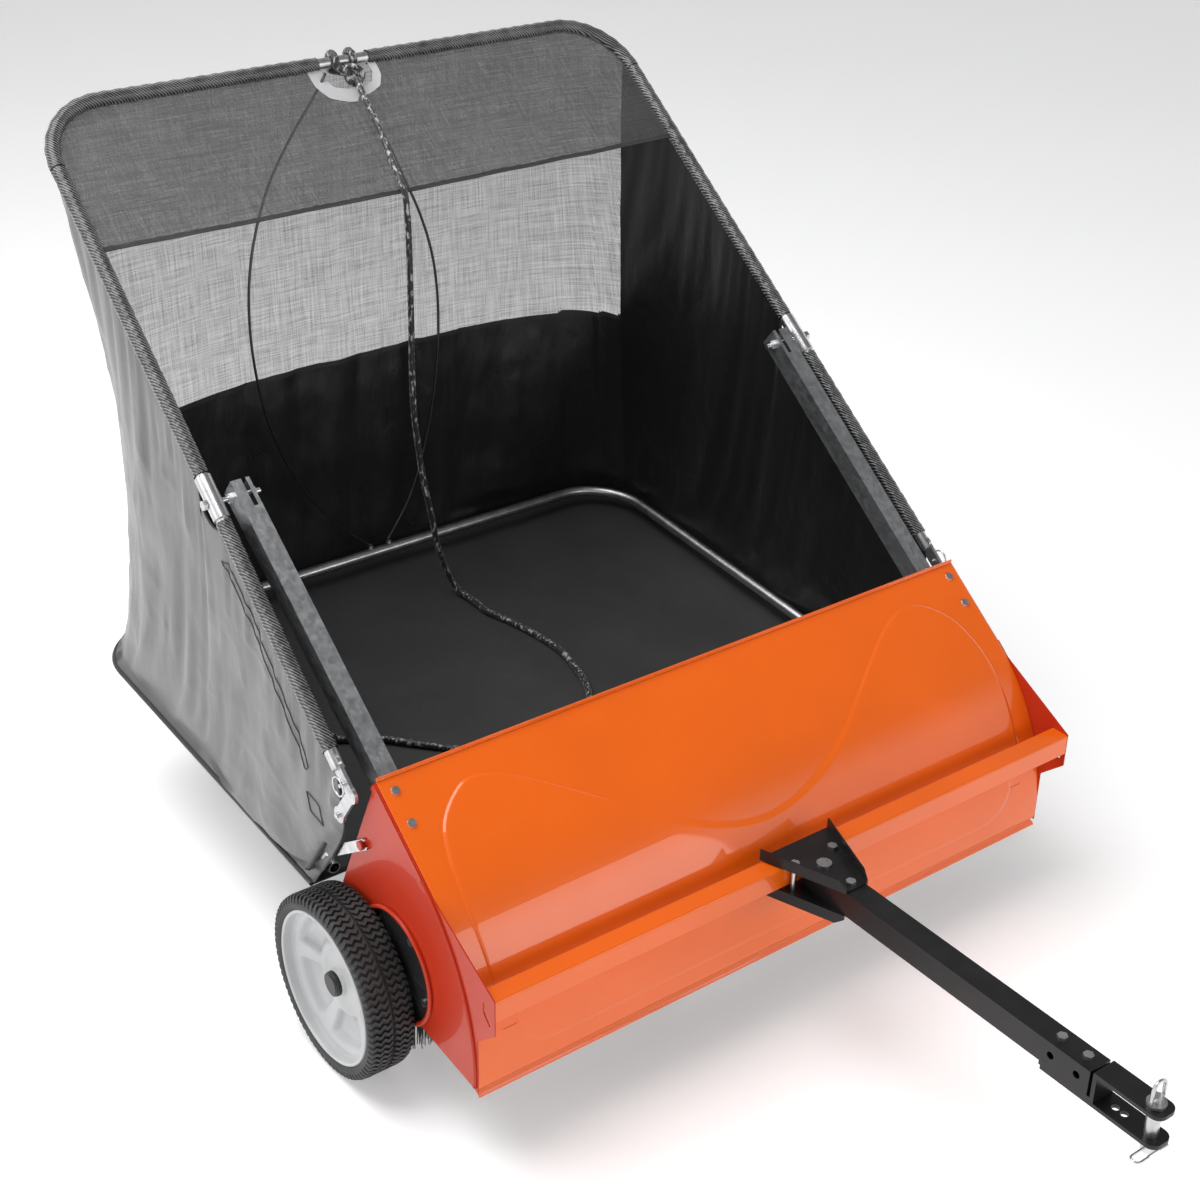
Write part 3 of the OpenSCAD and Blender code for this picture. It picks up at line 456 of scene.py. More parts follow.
def rope_piece(name, pts, closed=False, step=0.0028):
    p = catmull(rows(pts), 8, closed)
    if closed:
        p = np.vstack([p, p[:1]])
    p = resample(p, step)
    if closed:
        p = p[:-1]
    return tube(name, p, ROPE_R / 1000, CORD, "hopper", 16, closed, True, braid_relief), p


rope, rope_path = rope_piece("pull_rope", ROPE)
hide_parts("rope")


def over_bar(x, k, r=15.2):
    """A loop of rope round the top bar, r from its middle, that starts and ends at the knot k."""
    pts = [k]
    for a in (200, 160, 120, 80, 40, 0, -40, -75):
        a = math.radians(a)
        pts.append([x, BAR_Y + r * math.cos(a), BAR_Z + r * math.sin(a)])
    return pts


turns = [rope_piece("turn0", over_bar(-17, [0, 884, 1155]), True)[0],
         rope_piece("turn1", over_bar(16, [11, 882, 1157]), True)[0]]
HITCH_KNOT = [[-7, 888, 1164], [5, 878, 1166], [16, 874, 1158], [17, 876, 1146], [7, 874, 1139],
              [-4, 875, 1142], [-9, 879, 1152], [-2, 884, 1161], [9, 885, 1160]]
turns.append(rope_piece("turn_knot", HITCH_KNOT)[0])
hitch = join("rope_hitch_turns", turns)
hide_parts("rope_hitch")
# The end knot's turns, from the rope's last point
END_KNOT = [[4, -2, 0.5], [-4, 5, 8.5], [-14, 10, 12.5], [-20, 2, 8.5], [-12, -4, 1.5], [-2, 2, 4.5],
            [-6, 12, 5.5], [-16, 14, 2.5], [-22, 8, 1.5]]
knot_ob = rope_piece("rope_knot", (np.array(END_KNOT) + ROPE[-1]).tolist())[0]
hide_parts("rope_end_knot")


# -------- bow rods
BOWS = [
    [[-44, 887, 1160], [-72, 885, 1122], [-120, 883, 1062], [-168, 881, 985], [-206, 877, 877],
     [-219, 873, 758], [-208, 868, 630], [-173, 864, 510], [-108, 860, 392], [-16, 857, 300]],
    [[14, 889, 1152], [46, 884, 1075], [88, 880, 978], [124, 877, 893], [146, 874, 808],
     [152, 871, 714], [143, 867, 603], [118, 865, 484], [76, 861, 374], [23, 857, 300]],
]


def build_bow_rods():
    """Two sprung rods in front of the back wall, each with a small metal foot."""
    bows = []
    for k, pts in enumerate(BOWS):
        p = resample(catmull(rows(pts), 8), 0.006)
        bows.append(tube(f"bow{k}", p, 0.0024, ROD, "hopper", 10))
        foot = rows([[pts[-1][0], 855, 299], [pts[-1][0], 853, 290]])
        bows.append(tube(f"bow_foot{k}", resample(foot, 0.002), 0.005, ZINC, "hopper", 12))
    rods = join("sprung_bow_rods", bows)
    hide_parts("bow_rods")


build_bow_rods()


# -------- hopper bag
# The side tubes: half their spread at the pivot, the angle at which they close in, and the corner's radius
TUBE_HALF = 552
TAPER = math.radians(1.15)
CORNER = 112.0
# The middle of an upper corner's bend, across and up the mouth
UPC = (TUBE_HALF - CORNER / math.cos(TAPER) - 585 * math.tan(TAPER), 585.0)
# The frame tubes' axis lies this far over the bag's upper edge
TUBE_DROP = 11.5
# The bag at its floor: half its width, its front and back, and the radius of its rear corners
BAG_X, BAG_FRONT, BAG_BACK, BAG_R = 546, 150, 885, 100
# Where the bag's front edge meets the side tubes, along the mouth
FRONT_V = -398


def mouth(x, v, w=0.0):
    """A point of the mouth plane, w above it."""
    return [x, PIVOT_Y + v * math.cos(TILT) - w * math.sin(TILT),
            PIVOT_Z + v * math.sin(TILT) + w * math.cos(TILT)]


def half_at(v):
    """Half the distance between the side tubes, v up the mouth."""
    return TUBE_HALF - v * math.tan(TAPER)


def floor_z(y):
    """Height of the sloping floor panel."""
    return 256 + (y - 850) * math.tan(math.radians(4.4))


# The wall's grid: columns along a side, round a rear corner and along half the back, and rows
NS, NC, NR, NT = 92, 22, 60, 68


def smooth01(t):
    t = np.clip(t, 0, 1)
    return t * t * (3 - 2 * t)


# The front edge of the side panels, as heights and the y at each
FRONT_Z = [180, 200, 230, 255, 280, 300, 330, 350, 380, 400, 430, 478, 500]
FRONT_Y = [152, 150, 128, 107, 88, 70, 51, 39, 25, 22, 24, 30, 44]


# The wall's shape: how far the rear corners draw in and over what length, the slack of the sides and the
# bulge of the back, and the depth and half width of the cut-out at each pivot
WAIST, WAIST_SPREAD = 58, 150.0
SIDE_SLACK, BACK_BULGE = 7, 10
CUT_DEPTH, CUT_HALF = 34, 40


def wall_edges():
    """Upper and lower edge of half the wall, front to middle of the back, and each column's place along
    the mouth."""
    top, bot = [], []
    mouth_v = FRONT_V + np.arange(NS) / (NS - 1) * (UPC[1] - FRONT_V)
    for i, v in enumerate(mouth_v):
        top.append(mouth(half_at(v), v, -TUBE_DROP))
        bot.append([BAG_X, BAG_FRONT + i / (NS - 1) * (BAG_BACK - BAG_R - BAG_FRONT), 0])
    for i in range(1, NC + 1):
        u = i / (NC + 1)
        a = TAPER + u * (math.pi / 2 - TAPER)
        top.append(mouth(UPC[0] + CORNER * math.cos(a), UPC[1] + CORNER * math.sin(a), -TUBE_DROP))
        b = u * math.pi / 2
        bot.append([BAG_X - BAG_R + BAG_R * math.cos(b), BAG_BACK - BAG_R + BAG_R * math.sin(b), 0])
    for i in range(NR):
        u = i / (NR - 1)
        top.append(mouth(UPC[0] * (1 - u), TOP_V, -TUBE_DROP))
        bot.append([(BAG_X - BAG_R) * (1 - u), BAG_BACK, 0])
    top, bot = np.array(top, float), np.array(bot, float)
    bot[:, 2] = [floor_z(y) + 3 for y in bot[:, 1]]
    return top, bot, np.r_[mouth_v, np.full(NC + NR, 999.0)]


def wall_grid():
    """The bag's wall from one front edge round the back to the other; [s, t] with t 0 at the floor."""
    top, bot, mouth_v = wall_edges()
    s = np.r_[0, np.cumsum(np.linalg.norm(np.diff(bot, axis=0), axis=1))]
    corner_s = BAG_BACK - BAG_R - BAG_FRONT + 78
    half = np.zeros((len(top), NT, 3))
    for j in range(NT):
        t = j / (NT - 1)
        p = bot * (1 - t) + top * t
        waist = math.sin(math.pi * min(1, t ** 0.85)) ** 1.1
        d = WAIST * waist * np.exp(-((s - corner_s) / WAIST_SPREAD) ** 2)
        p[:, 0] -= d * 0.72
        p[:, 1] -= d * 0.72
        want = np.interp(p[:, 2], FRONT_Z, FRONT_Y)
        line = bot[0, 1] * (1 - t) + top[0, 1] * t
        p[:, 1] += (want[0] - line) * np.clip(1 - s / 240, 0, 1) ** 2
        p[:, 0] -= SIDE_SLACK * np.sin(math.pi * t) * smooth01((s - 20) / 160) * (s < corner_s)
        p[:, 1] += BACK_BULGE * np.sin(math.pi * t) * smooth01((s - corner_s - 160) / 200)
        notch = np.sqrt(np.clip(1 - ((mouth_v - 4) / CUT_HALF) ** 2, 0, 1))
        cut = CUT_DEPTH * notch * smooth01((t - 0.72) / 0.28)
        p[:, 1] += cut * math.sin(TILT)
        p[:, 2] -= cut * math.cos(TILT)
        half[:, j] = p
    other = half[::-1][1:].copy()
    other[..., 0] *= -1
    return np.vstack([half, other])


def noise_field(P, scale, seed, axes=(1, 1, 1)):
    """Smooth repeatable noise from a few sine waves."""
    rng = np.random.RandomState(seed)
    q = P * np.array(axes)
    out = np.zeros(P.shape[:-1])
    for _ in range(14):
        k = rng.normal(size=3)
        k *= (2 * math.pi / scale) * rng.uniform(0.5, 1.6) / np.linalg.norm(k)
        out += np.sin(q @ k + rng.uniform(0, 6.28))
    return out / 3.7


def creases(P):
    """Sharp shallow wrinkles that fan out in a few directions, as in a coated cloth."""
    out = np.zeros(P.shape[:-1])
    for seed, scale, amp in ((31, 120, 1.5), (32, 75, 0.9), (33, 48, 0.6)):
        warp = noise_field(P, scale * 2.2, seed + 50) * 9
        n = noise_field(P + warp[..., None], scale, seed, (1, 0.8, 0.7))
        out += amp * (1 - np.clip(np.abs(n) * 3.2, 0, 1)) ** 1.5
    return out


def normals_of(P):
    """Unit normals of a grid of points."""
    a = np.gradient(P, axis=0)
    b = np.gradient(P, axis=1)
    n = np.cross(a, b)
    return n / np.maximum(np.linalg.norm(n, axis=2, keepdims=True), 1e-9)


W = wall_grid()
nW = normals_of(W)
tt = np.linspace(0, 1, NT)[None, :]
edge = np.minimum(smooth01(tt / 0.12), smooth01((1 - tt) / 0.12)) * np.ones(W.shape[:2])
folds = (noise_field(W, 150, 3, (1, 1, 0.28)) * 4.2 + noise_field(W, 90, 5, (1, 1, 0.5)) * 1.6
         + creases(W))
W = W + nW * (folds * edge)[..., None]


def simulate(ob, pinned, frames_to=16):
    """Lets a sheet settle with its pinned edges held, then keeps the shape."""
    vg = ob.vertex_groups.new(name="pin")
    vg.add(pinned, 1.0, "REPLACE")
    c = ob.modifiers.new("cloth", "CLOTH")
    values = {"vertex_group_mass": "pin", "quality": 6, "mass": 0.35, "tension_stiffness": 25,
              "compression_stiffness": 12, "shear_stiffness": 12, "bending_stiffness": 0.6,
              "shrink_min": -0.012, "air_damping": 3}
    for key, value in values.items():
        setattr(c.settings, key, value)
    c.point_cache.frame_start = 1
    c.point_cache.frame_end = frames_to
    for f in range(1, frames_to + 1):
        bpy.context.scene.frame_set(f)
    dg = bpy.context.evaluated_depsgraph_get()
    got = ob.evaluated_get(dg).to_mesh()
    co = np.zeros(len(got.vertices) * 3)
    got.vertices.foreach_get("co", co)
    ob.evaluated_get(dg).to_mesh_clear()
    ob.modifiers.remove(c)
    bpy.context.scene.frame_set(1)
    return co.reshape(-1, 3)


def settle(P, cap, name="settle"):
    """Runs the cloth on a grid and returns the grid, no point further than cap from where it began."""
    ob = grid(name, P, SKIRT, "hopper")
    nu, nv = P.shape[:2]
    ids = np.arange(nu * nv).reshape(nu, nv)
    pins = np.unique(np.r_[ids[0], ids[-1], ids[:, 0], ids[:, -1]]).tolist()
    co = simulate(ob, pins).reshape(P.shape)
    bpy.data.objects.remove(ob)
    d = co - P
    n = np.linalg.norm(d, axis=2, keepdims=True)
    return P + d * np.minimum(1, cap / np.maximum(n, 1e-9))


WALL = settle(rows(W), 0.008)
NW = WALL.shape[0]
# Columns in a side panel, and the height of the mesh's seam at each end of the back, in metres
SIDE_N = NS + 2
SEAM_RIGHT, SEAM_LEFT = 0.636, 0.652


def prune(P, faces):
    """The used points only, with the faces renumbered."""
    verts = P.reshape(-1, 3)
    used = sorted({i for f in faces for i in f})
    at = {i: k for k, i in enumerate(used)}
    return verts[used], [tuple(at[i] for i in f) for f in faces]


def flat_piece(name, P, faces, mat):
    """Part of a grid as an object of its own."""
    verts, faces = prune(P, faces)
    ob = obj_from(name, verts, faces, mat, "hopper")
    return ob


def snap_seam():
    """Moves the row of points nearest the seam onto it, and returns each column's row."""
    at = {}
    for i in range(SIDE_N, NW - SIDE_N):
        z = WALL[i, :, 2]
        x = WALL[i, NT // 2, 0]
        target = SEAM_RIGHT + (SEAM_LEFT - SEAM_RIGHT) * (x + 0.55) / 1.1
        j = int(np.argmin(np.abs(z - target)))
        f = (target - WALL[i, j - 1, 2]) / (WALL[i, j + 1, 2] - WALL[i, j - 1, 2])
        WALL[i, j] = WALL[i, j - 1] * (1 - f) + WALL[i, j + 1] * f
        at[i] = j
    return at


seam_rows = snap_seam()


def faces_where(i0, i1, test):
    """The wall's faces between two columns that pass a test of column and row."""
    f = []
    for i in range(i0, i1 - 1):
        for j in range(NT - 1):
            if test(i, j):
                f.append((i * NT + j, (i + 1) * NT + j, (i + 1) * NT + j + 1, i * NT + j + 1))
    return f


def above(i, j):
    """Whether a face lies over the mesh's seam."""
    return j >= max(seam_rows[i], seam_rows[i + 1])


parts = {
    "bag_side_far": faces_where(0, SIDE_N + 1, lambda i, j: True),
    "bag_side_near": faces_where(NW - SIDE_N - 1, NW, lambda i, j: True),
    "bag_skirt": faces_where(SIDE_N, NW - SIDE_N, lambda i, j: not above(i, j)),
    "bag_mesh": faces_where(SIDE_N, NW - SIDE_N, above),
}
inner = WALL - normals_of(WALL) * 0.0014
for side, cad in (("bag_side_far", "bag_side_left"), ("bag_side_near", "bag_side_right")):
    out = flat_piece(side, WALL, parts[side], SIDE_OUT)
    lining = flat_piece(side + "_lining", inner, parts[side], SIDE_IN)
    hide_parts(cad)
for piece, mat, size, slot, cad in (("bag_skirt", SKIRT, (1.3, 0.40), "floor_vinyl", "bag_rear_skirt"),
                                    ("bag_mesh", MESH, (1.3, 0.52), "mesh", "bag_rear_mesh")):
    out = flat_piece(piece, WALL, parts[piece], mat)
    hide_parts(cad)


def build_seam_band():
    """The doubled band where the mesh is sewn to the skirt."""
    band = []
    for i in range(SIDE_N, NW - SIDE_N):
        j = seam_rows[i]
        band.append([inner[i, j] * 0.75 + inner[i, j - 1] * 0.25, inner[i, j] * 0.6 + inner[i, j + 1] * 0.4])
    grid("seam_band", np.array(band), HEM, "hopper")


build_seam_band()


def on_side_wall(y, z, sx, lift=0.0006):
    """The point of the side panel's outer face at a height and distance back."""
    P = (WALL[:NS] if sx > 0 else WALL[-NS:]).reshape(-1, 3)
    q = rows([0, y, z])
    d = np.hypot(P[:, 1] - q[1], P[:, 2] - q[2])
    i = np.argsort(d)[:4]
    w = 1 / (d[i] + 1e-4)
    return np.array([float((P[i, 0] * w).sum() / w.sum()) + sx * lift, q[1], q[2]])


# Sewn lines on each side panel, as places back and heights: a pocket's outline, a tab, two long seams
STITCHES = [
    [[352, 651], [332, 640], [262, 582], [196, 505], [136, 436], [124, 420], [112, 432], [128, 452],
     [190, 522], [256, 598], [330, 655], [352, 651]],
    [[121, 386], [88, 380], [80, 350], [113, 356], [121, 386]],
    [[470, 802], [560, 872], [650, 942], [740, 1012], [820, 1074]],
    [[352, 700], [262, 630], [160, 551], [92, 498]],
]


def build_stitching():
    """Sewn lines, edge bindings and the strut covers of both side panels."""
    seams = []
    for sx in (1, -1):
        for k, line in enumerate(STITCHES):
            pts = resample(np.array([[a, b, 0] for a, b in line], float), 7.0)
            p = np.array([on_side_wall(a, b, sx) for a, b, _ in pts])
            seams.append(tube(f"stitch{k}{sx}", p, 0.0009, THREAD, "hopper", 6))
        front = WALL[0] if sx > 0 else WALL[-1]
        seams.append(tube(f"front_binding{sx}", resample(front, 0.006), 0.0021, HEM, "hopper", 8))
        top = WALL[:NS, -1] if sx > 0 else WALL[-NS:, -1]
        seams.append(tube(f"top_binding{sx}", resample(top, 0.006), 0.0017, HEM, "hopper", 8))
    for sx in (1, -1):
        strut = rows([[sx * 554, 28, 400], [sx * 554, 146, 233.5]])
        seams.append(tube(f"strut_cover{sx}", resample(strut, 0.008), 0.0042, HEM, "hopper", 12))
    join("stitching", seams)


build_stitching()


# -------- hood
# The hood's lower edge, along the mouth
LOW_V = (702 - PIVOT_Y) / math.cos(TILT)


def hood_sag(v):
    """How far the middle of the hood hangs, v up the mouth."""
    return 5 * math.sin(math.pi * (0.12 + 0.88 * (TOP_V - v) / (TOP_V - LOW_V)) / 1.35)


def hood_grid(nx=110, nv=36):
    """Mesh across the top of the mouth that sags a little between the tubes."""
    P = np.zeros((nx, nv, 3))
    for j in range(nv):
        v = LOW_V + (TOP_V - LOW_V - 1) * j / (nv - 1)
        if v <= UPC[1]:
            half = half_at(v) - 4
        else:
            half = UPC[0] + math.sqrt(max(0.0, CORNER ** 2 - (v - UPC[1]) ** 2)) - 3
        for i in range(nx):
            u = -1 + 2 * i / (nx - 1)
            P[i, j] = mouth(u * half, v, 3 - (1 - u * u) * hood_sag(v))
    return P


Hd = hood_grid()
Hd = Hd + normals_of(Hd) * (noise_field(Hd, 160, 9, (1, 0.4, 0.4)) * 1.2)[..., None]
HOODP = settle(rows(Hd), 0.003, "settle_hood")


def inside(px, py, pts):
    """Which points lie inside a closed outline."""
    c = np.zeros(np.shape(px), bool)
    n = len(pts)
    for i in range(n):
        (x1, y1), (x2, y2) = pts[i], pts[(i + 1) % n]
        hit = ((y1 > py) != (y2 > py)) & (px < (x2 - x1) * (py - y1) / (y2 - y1 + 1e-12) + x1)
        c ^= hit
    return c


# The rope's opening, across and along the mouth
NOTCH = [(-43, 699), (-45, 668), (-36, 650), (-14, 643), (14, 641), (36, 650), (45, 668), (43, 699)]


def notch_point(x, v):
    """The nearest point of the rope opening's outline."""
    found = []
    for (ax, av), (bx, bv) in zip(NOTCH[:-1], NOTCH[1:]):
        k = ((x - ax) * (bx - ax) + (v - av) * (bv - av)) / ((bx - ax) ** 2 + (bv - av) ** 2)
        k = min(1, max(0, k))
        found.append((ax + k * (bx - ax), av + k * (bv - av)))
    return min(found, key=lambda q: math.hypot(x - q[0], v - q[1]))


def hood_mesh():
    """The hood with an opening in the middle of its upper edge, its border drawn to a clean line."""
    nu, nv = HOODP.shape[:2]
    P = HOODP.reshape(-1, 3).copy()
    loc = np.stack([P[:, 0] * 1000, ((P[:, 1] - AXLE_Y) * 1000 - PIVOT_Y) * math.cos(TILT)
                    + (P[:, 2] * 1000 - PIVOT_Z) * math.sin(TILT)], 1)
    kept, cut = [], set()
    for f in grid_faces(nu, nv):
        c = loc[list(f)].mean(0)
        if abs(c[0]) < 60 and inside(np.array([c[0]]), np.array([c[1]]), NOTCH)[0]:
            cut |= set(f)
        else:
            kept.append(f)
    for i in cut & {i for f in kept for i in f}:
        x, v = notch_point(*loc[i])
        P[i, 0] = x / 1000
        dv = (v - loc[i][1]) / 1000
        P[i] += np.array([0, dv * math.cos(TILT), dv * math.sin(TILT)])
    return prune(P, kept)


hood = obj_from("bag_hood_mesh", *hood_mesh(), HOOD, "hopper")


def build_hood_patch():
    """The pale binding round the rope's opening, wider on the machine's right."""
    patch = []
    for k in range(41):
        q = k / 40 * (len(NOTCH) - 1)
        i = min(int(q), len(NOTCH) - 2)
        x = NOTCH[i][0] + (q - i) * (NOTCH[i + 1][0] - NOTCH[i][0])
        v = NOTCH[i][1] + (q - i) * (NOTCH[i + 1][1] - NOTCH[i][1])
        out = np.array([x, v - 690.0])
        out /= np.linalg.norm(out)
        w = 26 if x < 0 else 15
        v2 = v + out[1] * w
        patch.append([mouth(x, v, 1.4 - hood_sag(v)),
                      mouth(x + out[0] * w, min(694, v2), 1.4 - hood_sag(v2))])
    grid("hood_patch", rows(np.array(patch)), PATCH, "hopper")


build_hood_patch()
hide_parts("bag_hood")


def build_hood_hem():
    """The hem along the hood's lower edge."""
    low, second = HOODP[:, 0], HOODP[:, 1]
    over = np.array([0, 0, 0.0012])
    strip = [low - np.array([0, 0, 0.0015]), low * 0.45 + second * 0.55 + over, second + over]
    grid("hood_hem", np.stack(strip, 1), HEM, "hopper")


build_hood_hem()


# -------- bag floor
def build_floor_panel():
    """The stiff floor panel, with round rear corners."""
    panel = []
    for i in range(61):
        x = BAG_X * (i / 30 - 1)
        k = max(0, (abs(x) - BAG_X + BAG_R) / BAG_R)
        rear = BAG_BACK - BAG_R + BAG_R * math.sqrt(max(0, 1 - k * k))
        ys = [BAG_FRONT + (rear - BAG_FRONT) * j / 48 for j in range(49)]
        panel.append([[x, y, floor_z(y)] for y in ys])
    panel = np.array(panel)
    panel[..., 2] += noise_field(panel, 260, 21) * 1.2 - 1.2
    ob = grid("bag_floor_panel", rows(panel), FLOOR, "hopper")
    thick = ob.modifiers.new("thickness", "SOLIDIFY")
    thick.thickness = 0.0045
    thick.offset = -1
    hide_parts("bag_floor")


def build_floor_piping():
    """The piping round the floor panel's two sides and back."""
    side, middle, corner_y = BAG_X + 1, BAG_X - BAG_R + 1, BAG_BACK - BAG_R
    bend = np.linspace(0.1, math.pi / 2, 12)
    pts = [[-side, BAG_FRONT + 635 * k / 30, 0] for k in range(31)]
    pts += [[-middle - 100 * math.cos(a), corner_y + 101 * math.sin(a), 0] for a in bend]
    pts += [[-middle + 2 * middle * k / 40, BAG_BACK + 1, 0] for k in range(1, 41)]
    pts += [[middle + 100 * math.sin(a), corner_y + 101 * math.cos(a), 0] for a in bend]
    pts += [[side, corner_y - 635 * k / 30, 0] for k in range(1, 31)]
    pts = np.array(pts, float)
    pts[:, 2] = [floor_z(y) - 1.5 for y in pts[:, 1]]
    ob = tube("floor_piping", resample(rows(pts), 0.012), 0.0048, HEM, "hopper", 8)


build_floor_panel()
build_floor_piping()


# -------- tube sleeves
def hem_on_tube(name, v0, v1, x_sign):
    """Fabric wrapped round a side tube, with small puckers."""
    n = max(3, int(abs(v1 - v0) / 2.5))
    P = np.zeros((n, 20, 3))
    for i in range(n):
        v = v0 + (v1 - v0) * i / (n - 1)
        x = half_at(v) * x_sign
        for k in range(20):
            a = 2 * math.pi * k / 20
            r = 11.6 + 0.35 * math.sin(v * 0.21 + 3 * a) + 0.25 * math.sin(v * 0.53 - 2 * a)
            P[i, k] = mouth(x + x_sign * r * math.cos(a), v, r * math.sin(a))
    return grid(name, rows(P), SLEEVE, "hopper", close_v=True, flip=x_sign < 0)


def hem_round_corner(sx, tag):
    """Fabric wrapped round the top tube, from a side tube's upper end to the rope's opening."""
    pts = [mouth(sx * (UPC[0] + CORNER * math.cos(a)), UPC[1] + CORNER * math.sin(a))
           for a in np.linspace(TAPER, math.pi / 2, 26)]
    pts += [mouth(sx * x, TOP_V) for x in np.linspace(UPC[0] - 5, 47, 60)]
    radius = 0.0118 + 0.0006 * np.sin(np.arange(len(pts)) * 1.7)
    return tube(f"hem_top_{tag}", rows(np.array(pts)), radius, SLEEVE, "hopper", 14, caps=False)


SIDES = ((1, "left"), (-1, "right"))
hems = []
for sx, tag in SIDES:
    hems.append(hem_on_tube(f"hem_up_{tag}", 46, UPC[1], sx))
    hems.append(hem_on_tube(f"hem_low_{tag}", -33, FRONT_V, sx))
hems += [hem_round_corner(sx, tag) for sx, tag in SIDES]
tube_hems = join("tube_hems", hems)
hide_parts("tube_sleeves")


# -------- housing cover
# The cover's slope, its rear edge, its outward normal and its run downhill, in (y, z)
COVER_SLOPE_DEG = 37.4
SC = math.radians(COVER_SLOPE_DEG)
REAR = np.array([-42.5, 484.6])
NRM = np.array([-math.sin(SC), math.cos(SC)])
ALONG = np.array([-math.cos(SC), -math.sin(SC)])
# The rolled front's middle and radius, and the length of the flat stretch above it
DRUM = np.array([37.0, 145.0])
R_OUT = 318.0
FLAT = float((REAR - DRUM) @ -ALONG)


def cover_profile():
    """The sheet from its rear lip over the slope and the roll to the return lip, as points and outward
    directions in (y, z)."""
    stations = [([REAR[0] + 0.2, REAR[1] + 7 - k], [1, 0]) for k in range(8)]
    n = int(FLAT / 1.8)
    stations += [(REAR + ALONG * (FLAT * k / n), NRM) for k in range(n + 1)]
    a0, a1 = math.radians(90 + COVER_SLOPE_DEG), math.radians(184.3)
    n = int((a1 - a0) * R_OUT / 3.2)
    for k in range(1, n + 1):
        a = a0 + (a1 - a0) * k / n
        u = np.array([math.cos(a), math.sin(a)])
        stations.append((DRUM + R_OUT * u, u))
    return stations + [([-270.4, 116], [-1, 0]), ([-281, 108.6], [-0.5, 0.8]), ([-281.6, 106.4], [-0.8, 0])]


def seg_dist(px, py, a, b):
    """Distance of points from a line segment."""
    ax, ay = a
    bx, by = b
    dx, dy = bx - ax, by - ay
    t = np.clip(((px - ax) * dx + (py - ay) * dy) / max(dx * dx + dy * dy, 1e-9), 0, 1)
    return np.hypot(px - ax - t * dx, py - ay - t * dy)


def poly_dist(px, py, pts, closed=False):
    """Distance of points from an outline."""
    d = np.full(np.shape(px), 1e9)
    q = pts + [pts[0]] if closed else pts
    for a, b in zip(q[:-1], q[1:]):
        d = np.minimum(d, seg_dist(px, py, a, b))
    return d


def emboss_outline():
    """The pressed panel's edge as (x, y), for the half at +X, from the middle of the V outwards."""
    pts = [[0, -231], [45, -228], [87, -221], [128, -210], [185, -187], [245, -153], [300, -120],
           [352, -92], [392, -78], [423, -76], [456, -91], [483, -115], [497, -148], [503, -182],
           [504, -220], [500, -276]]
    p = catmull([[a, b, 0] for a, b in pts], 6)[:, :2]
    return p.tolist()


half_emboss = emboss_outline()
EMB = half_emboss + [[-x, y] for x, y in reversed(half_emboss)][:-1]
# The lower panel's pressed outline as (x, z): straight sides and round lower corners
LOW_X, LOW_Z, LOW_R = 478, 215, 60
PANEL = [[LOW_X, 262], [LOW_X, LOW_Z]]
PANEL += [[LOW_X - LOW_R + LOW_R * math.cos(a), LOW_Z - LOW_R * math.sin(a)]
          for a in np.linspace(0, math.pi / 2, 10)]
PANEL += [[-x, z] for x, z in reversed(PANEL)]


def build_cover():
    """The bent cover sheet, with its two pressed outlines raised."""
    stations = cover_profile()
    xs = np.unique(np.r_[np.linspace(-543, 543, 545), [-504, 504, -LOW_X, LOW_X]])
    ys = np.array([p[0] for p, _ in stations])
    zs = np.array([p[1] for p, _ in stations])
    n = np.array([u for _, u in stations], float)
    X, Y = np.meshgrid(xs, ys, indexing="ij")
    _, Z = np.meshgrid(xs, zs, indexing="ij")
    d = poly_dist(X, Y, EMB, True)
    d = np.where(inside(X, Y, EMB), d, -d)
    upper = 2.6 * smooth01((d + 2.0) / 4.0) * (Z > 262) * (Y < -60)
    d = poly_dist(X, Z, PANEL)
    d = np.where(inside(X, Z, PANEL) | ((np.abs(X) < LOW_X) & (Z >= LOW_Z)), d, -d)
    lower = 1.8 * smooth01((d + 2.2) / 4.4) * (Z < 262) * (Z > 120)
    H = upper + lower
    P = np.stack([X, Y + H * n[None, :, 0], Z + H * n[None, :, 1]], 2)
    ob = grid("cover_sheet", rows(P), ORANGE, "chassis")
    sheet = ob.modifiers.new("sheet", "SOLIDIFY")
    sheet.thickness = 0.0018
    sheet.offset = -1
    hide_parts("housing_shell")


build_cover()


def on_cover_at(x, y):
    """The point of the cover's outer face at a place across and along."""
    if y > DRUM[0] + R_OUT * math.cos(math.radians(90 + COVER_SLOPE_DEG)):
        z = REAR[1] + (y - REAR[0]) * math.tan(SC)
        n = NRM
    else:
        z = DRUM[1] + math.sqrt(R_OUT ** 2 - (y - DRUM[0]) ** 2)
        n = (np.array([y, z]) - DRUM) / R_OUT
    return V(x, y + n[0] * 0.9, z + n[1] * 0.9)


def on_lower_at(x, z):
    """The point of the lower panel's outer face at a place across and a height."""
    y = DRUM[0] - math.sqrt(R_OUT ** 2 - (z - DRUM[1]) ** 2)
    return V(x, y - 0.9, z)


# Painted shade: thin darker red lines along the two pressed outlines, standing in for the shade in their
# creases
top_line = np.array([on_cover_at(x, y) for x, y in EMB])
low_line = np.array([on_lower_at(x, z) for x, z in PANEL])
crease_painted_shade = join("crease_painted_shade", [tube("crease_painted_shade_top", top_line, 0.0012, RED, "chassis", 8),
                                     tube("crease_painted_shade_low", low_line, 0.0011, RED, "chassis", 8)])


# -------- tyres
TREAD_PITCHES = 78
BLOCK_SHARE = 0.62
